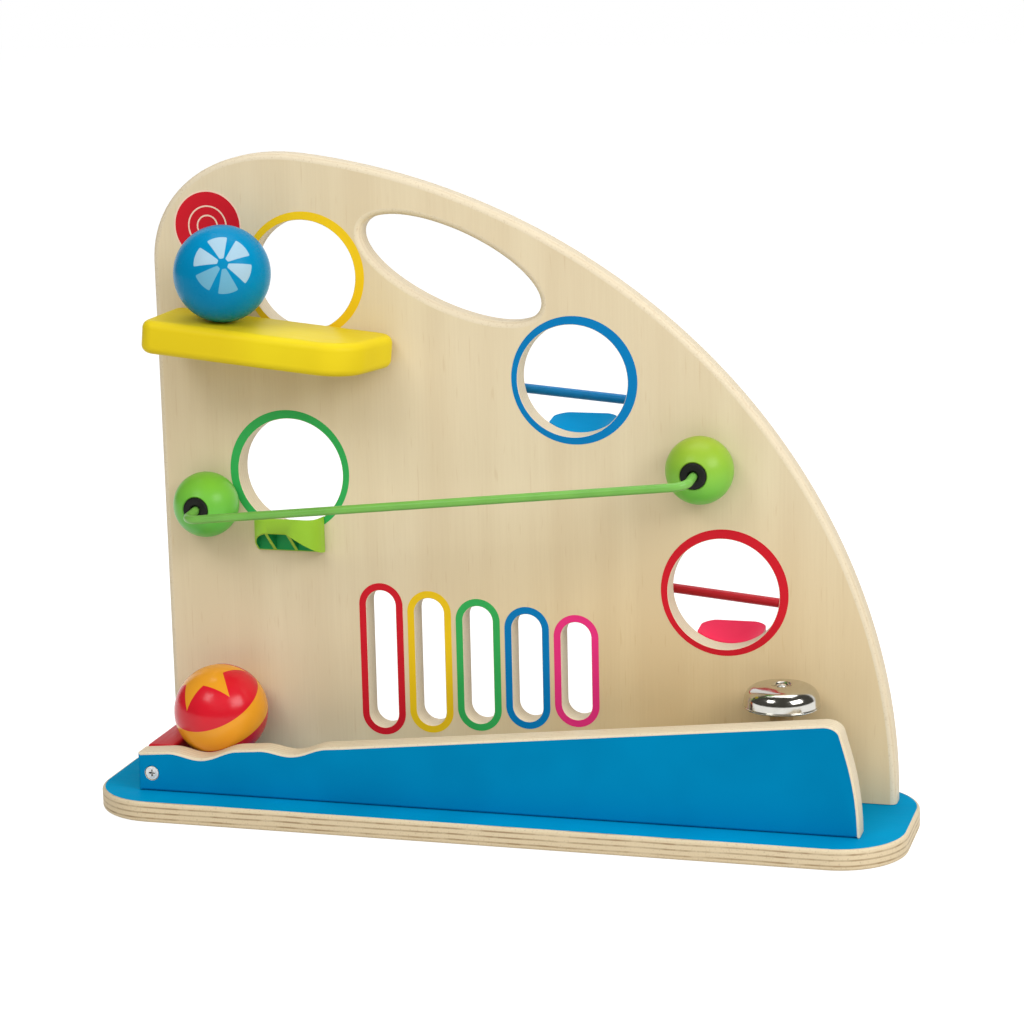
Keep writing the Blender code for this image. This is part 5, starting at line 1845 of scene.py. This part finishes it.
@dataclass
class Studio:
    """A white floor and background, soft lights, a dark room round the front, and the camera."""

    azimuth: float = radians(16.10)
    elevation: float = radians(12.36)
    roll: float = radians(-1.29)
    aim: Triple = (2.0, 20.0, 144.2)
    distance: float = 1401.2
    sensor: float = 36.0
    picture: float = 1024.0
    focal: float = 2937.0  # the lens's focal length, in pixels of the picture
    far: float = 50.0  # how far the camera sees, in metres
    boxes: tuple[SoftBox, ...] = (
        SoftBox("left_box", (-0.323, -0.673, 0.666), 7.5, size=(0.65, 0.65)),
        SoftBox("right_box", (0.781, -0.369, 0.504), 19.0, size=(1.1, 0.8)),
        SoftBox("top_box", (0.0, 0.2, 0.98), 16.5, 2.2, (1.9, 1.0)),
        SoftBox("front_fill", (0.15, -0.8, 0.56), 27.0, 3.0, (2.2, 2.2), mirrored=False),
    )
    sky: float = 0.28
    floor: Triple = (0.7, 0.66, 0.58)
    floor_size: float = 6.0
    floor_drop: float = 0.2
    shown_floor: float = 0.35  # how pale it is where it shows, so that it keeps the shadow
    shown_white: float = 0.9  # the white that is added there
    room: float = 3.2
    room_foot: float = 0.02
    room_back: float = 1.7
    room_tint: Triple = (1.0, 0.95, 0.85)
    room_light: float = 0.08

    def add_camera(self) -> None:
        """Stands the camera where the photograph was taken from."""
        away = Vector((sin(self.azimuth) * cos(self.elevation), -cos(self.azimuth) * cos(self.elevation),
                       sin(self.elevation)))
        right = Vector((cos(self.azimuth), sin(self.azimuth), 0))
        up = away.cross(right)
        level = cos(self.roll) * right + sin(self.roll) * up
        turn = Matrix((level, away.cross(level), away)).transposed().to_4x4()
        data = bpy.data.cameras.new("camera")
        data.sensor_width = self.sensor
        data.lens = self.focal / self.picture * self.sensor
        data.clip_end = self.far
        camera = bpy.data.objects.new("camera", data)
        camera.matrix_world = Matrix.Translation((Vector(self.aim) + away * self.distance) * MM) @ turn
        bpy.context.scene.collection.objects.link(camera)
        bpy.context.scene.camera = camera

    def seen(self, tree: NodeTree) -> NodeSocket:
        """Picks out the rays that show the background: from the camera, or off metal and glass.

        Args:
            tree: The nodes of the world or the floor.

        Returns:
            One for these rays and zero for the others.
        """
        path = add_node(tree, "ShaderNodeLightPath")
        rays = [path.outputs[f"Is {kind} Ray"] for kind in ("Camera", "Glossy", "Transmission")]
        either = add_node(tree, "ShaderNodeMath", {0: rays[0], 1: rays[1]}, operation="MAXIMUM")
        inputs = {0: either.outputs[0], 1: rays[2]}
        return add_node(tree, "ShaderNodeMath", inputs, operation="MAXIMUM").outputs[0]

    def add_sky(self) -> None:
        """Shows a white background, and lights the object with a plain grey one."""
        world = bpy.data.worlds.new("studio")
        tree = empty_tree(world)
        white = {0: self.seen(tree), 1: 0.0, 2: 1.0, 3: self.sky, 4: 1.0}
        strength = add_node(tree, "ShaderNodeMapRange", white)
        sky = add_node(tree, "ShaderNodeBackground", {0: (1, 1, 1, 1), 1: strength.outputs[0]})
        add_node(tree, "ShaderNodeOutputWorld", {0: sky.outputs[0]})
        bpy.context.scene.world = world

    def add_floor(self) -> None:
        """Lays a pale floor that shows white, with the object's soft shadow."""
        made = bpy.data.materials.new("white_floor")
        tree = empty_tree(made)
        plain = add_node(tree, "ShaderNodeBsdfDiffuse", {0: (*self.floor, 1)})
        shadow = add_node(tree, "ShaderNodeBsdfDiffuse", {0: (*(self.shown_floor,) * 3, 1)})
        white = add_node(tree, "ShaderNodeEmission", {0: (1, 1, 1, 1), 1: self.shown_white})
        shown = add_node(tree, "ShaderNodeAddShader", {0: shadow.outputs[0], 1: white.outputs[0]})
        floor = {0: self.seen(tree), 1: plain.outputs[0], 2: shown.outputs[0]}
        surface = add_node(tree, "ShaderNodeMixShader", floor)
        add_node(tree, "ShaderNodeOutputMaterial", {0: surface.outputs[0]})
        shape = bmesh.new()
        below = Matrix.Translation((0, 0, -self.floor_drop * MM))
        bmesh.ops.create_grid(shape, x_segments=1, y_segments=1, size=self.floor_size, matrix=below)
        self.add_stage(shape, "floor", made)

    def add_dark_room(self) -> None:
        """Closes the room round the front, dark, for reflections alone, which give chrome contrast."""
        made = bpy.data.materials.new("dark_room")
        tree = empty_tree(made)
        dark = add_node(tree, "ShaderNodeEmission", {0: (*self.room_tint, 1), 1: self.room_light})
        add_node(tree, "ShaderNodeOutputMaterial", {0: dark.outputs[0]})
        shape = bmesh.new()
        bmesh.ops.create_uvsphere(shape, u_segments=48, v_segments=24, radius=self.room)
        cut_off(shape, (0, 0, self.room_foot), (0, 0, -1), close=False)
        cut_off(shape, (0, self.room_back, 0), (0, 1, 0), close=False)
        room = self.add_stage(shape, "dark_room", made)
        room.visible_camera = room.visible_diffuse = False
        room.visible_shadow = room.visible_transmission = False

    def add_stage(self, shape: BMesh, name: str, material: Material) -> Object:
        """Adds a thing that isn't part of the object.

        Args:
            shape: Its shape, in metres; it is used up.
            name: Its name.
            material: Its material.

        Returns:
            The thing.
        """
        mesh = bpy.data.meshes.new(name)
        shape.to_mesh(mesh)
        shape.free()
        mesh.materials.append(material)
        thing = bpy.data.objects.new(name, mesh)
        bpy.context.scene.collection.objects.link(thing)
        return thing

    def build(self) -> None:
        """Sets the studio up."""
        bpy.context.scene.view_settings.view_transform = "Standard"
        self.add_camera()
        for box in self.boxes:
            box.hang(Vector(self.aim) * MM)
        self.add_sky()
        self.add_floor()
        self.add_dark_room()


def main() -> None:
    """Builds the studio and every sub-assembly in order."""
    logging.basicConfig(level=logging.INFO, format="%(message)s")
    Studio().build()
    screws = Screws()
    screws.build()
    BaseBoard().build(screws)
    panel = UprightPanel()
    panel.build()
    FrontFence().build(screws)
    EndStop().build()
    StartShelf().build()
    holes = {colour: middle for colour, middle, _ in panel.holes}
    # The wires and scoops on the back differ a little from the front ones.
    back_wire = {"wire": 2.35, "stand_off": 40.7, "drop": 1.9}
    back_tray = {"width": 31.5, "corner": 7.0}
    Rail("green", Face.FRONT, (-149.8, 144.6), (96.0, 170.0), GREEN_WIRE,
         (GREEN_KNOB_DEEP, GREEN_KNOB)).build()
    Rail("blue", Face.BACK, (-140.0, 208.2), (78.0, 189.6), BLUE_WIRE,
         (BLUE_KNOB, BLUE_KNOB), **back_wire).build()
    Rail("red", Face.BACK, (-150.0, 120.2), (146.0, 91.5), RED_WIRE,
         (RED_KNOB, RED_KNOB), **back_wire).build()
    Scoop("green", Face.FRONT, holes["green"], GREEN_ABS, GREEN_HOLLOW).build()
    Scoop("blue", Face.BACK, holes["blue"], BLUE_ABS, BLUE_HOLLOW, **back_tray).build()
    Scoop("red", Face.BACK, holes["red"], RED_ABS, RED_HOLLOW, **back_tray).build()
    Bell().build()
    Ball("blue_ball", Body.BLUE_BALL, PETALS).build()
    Ball("red_ball", Body.RED_BALL, STAR).build()


if __name__ == "__main__":
    main()
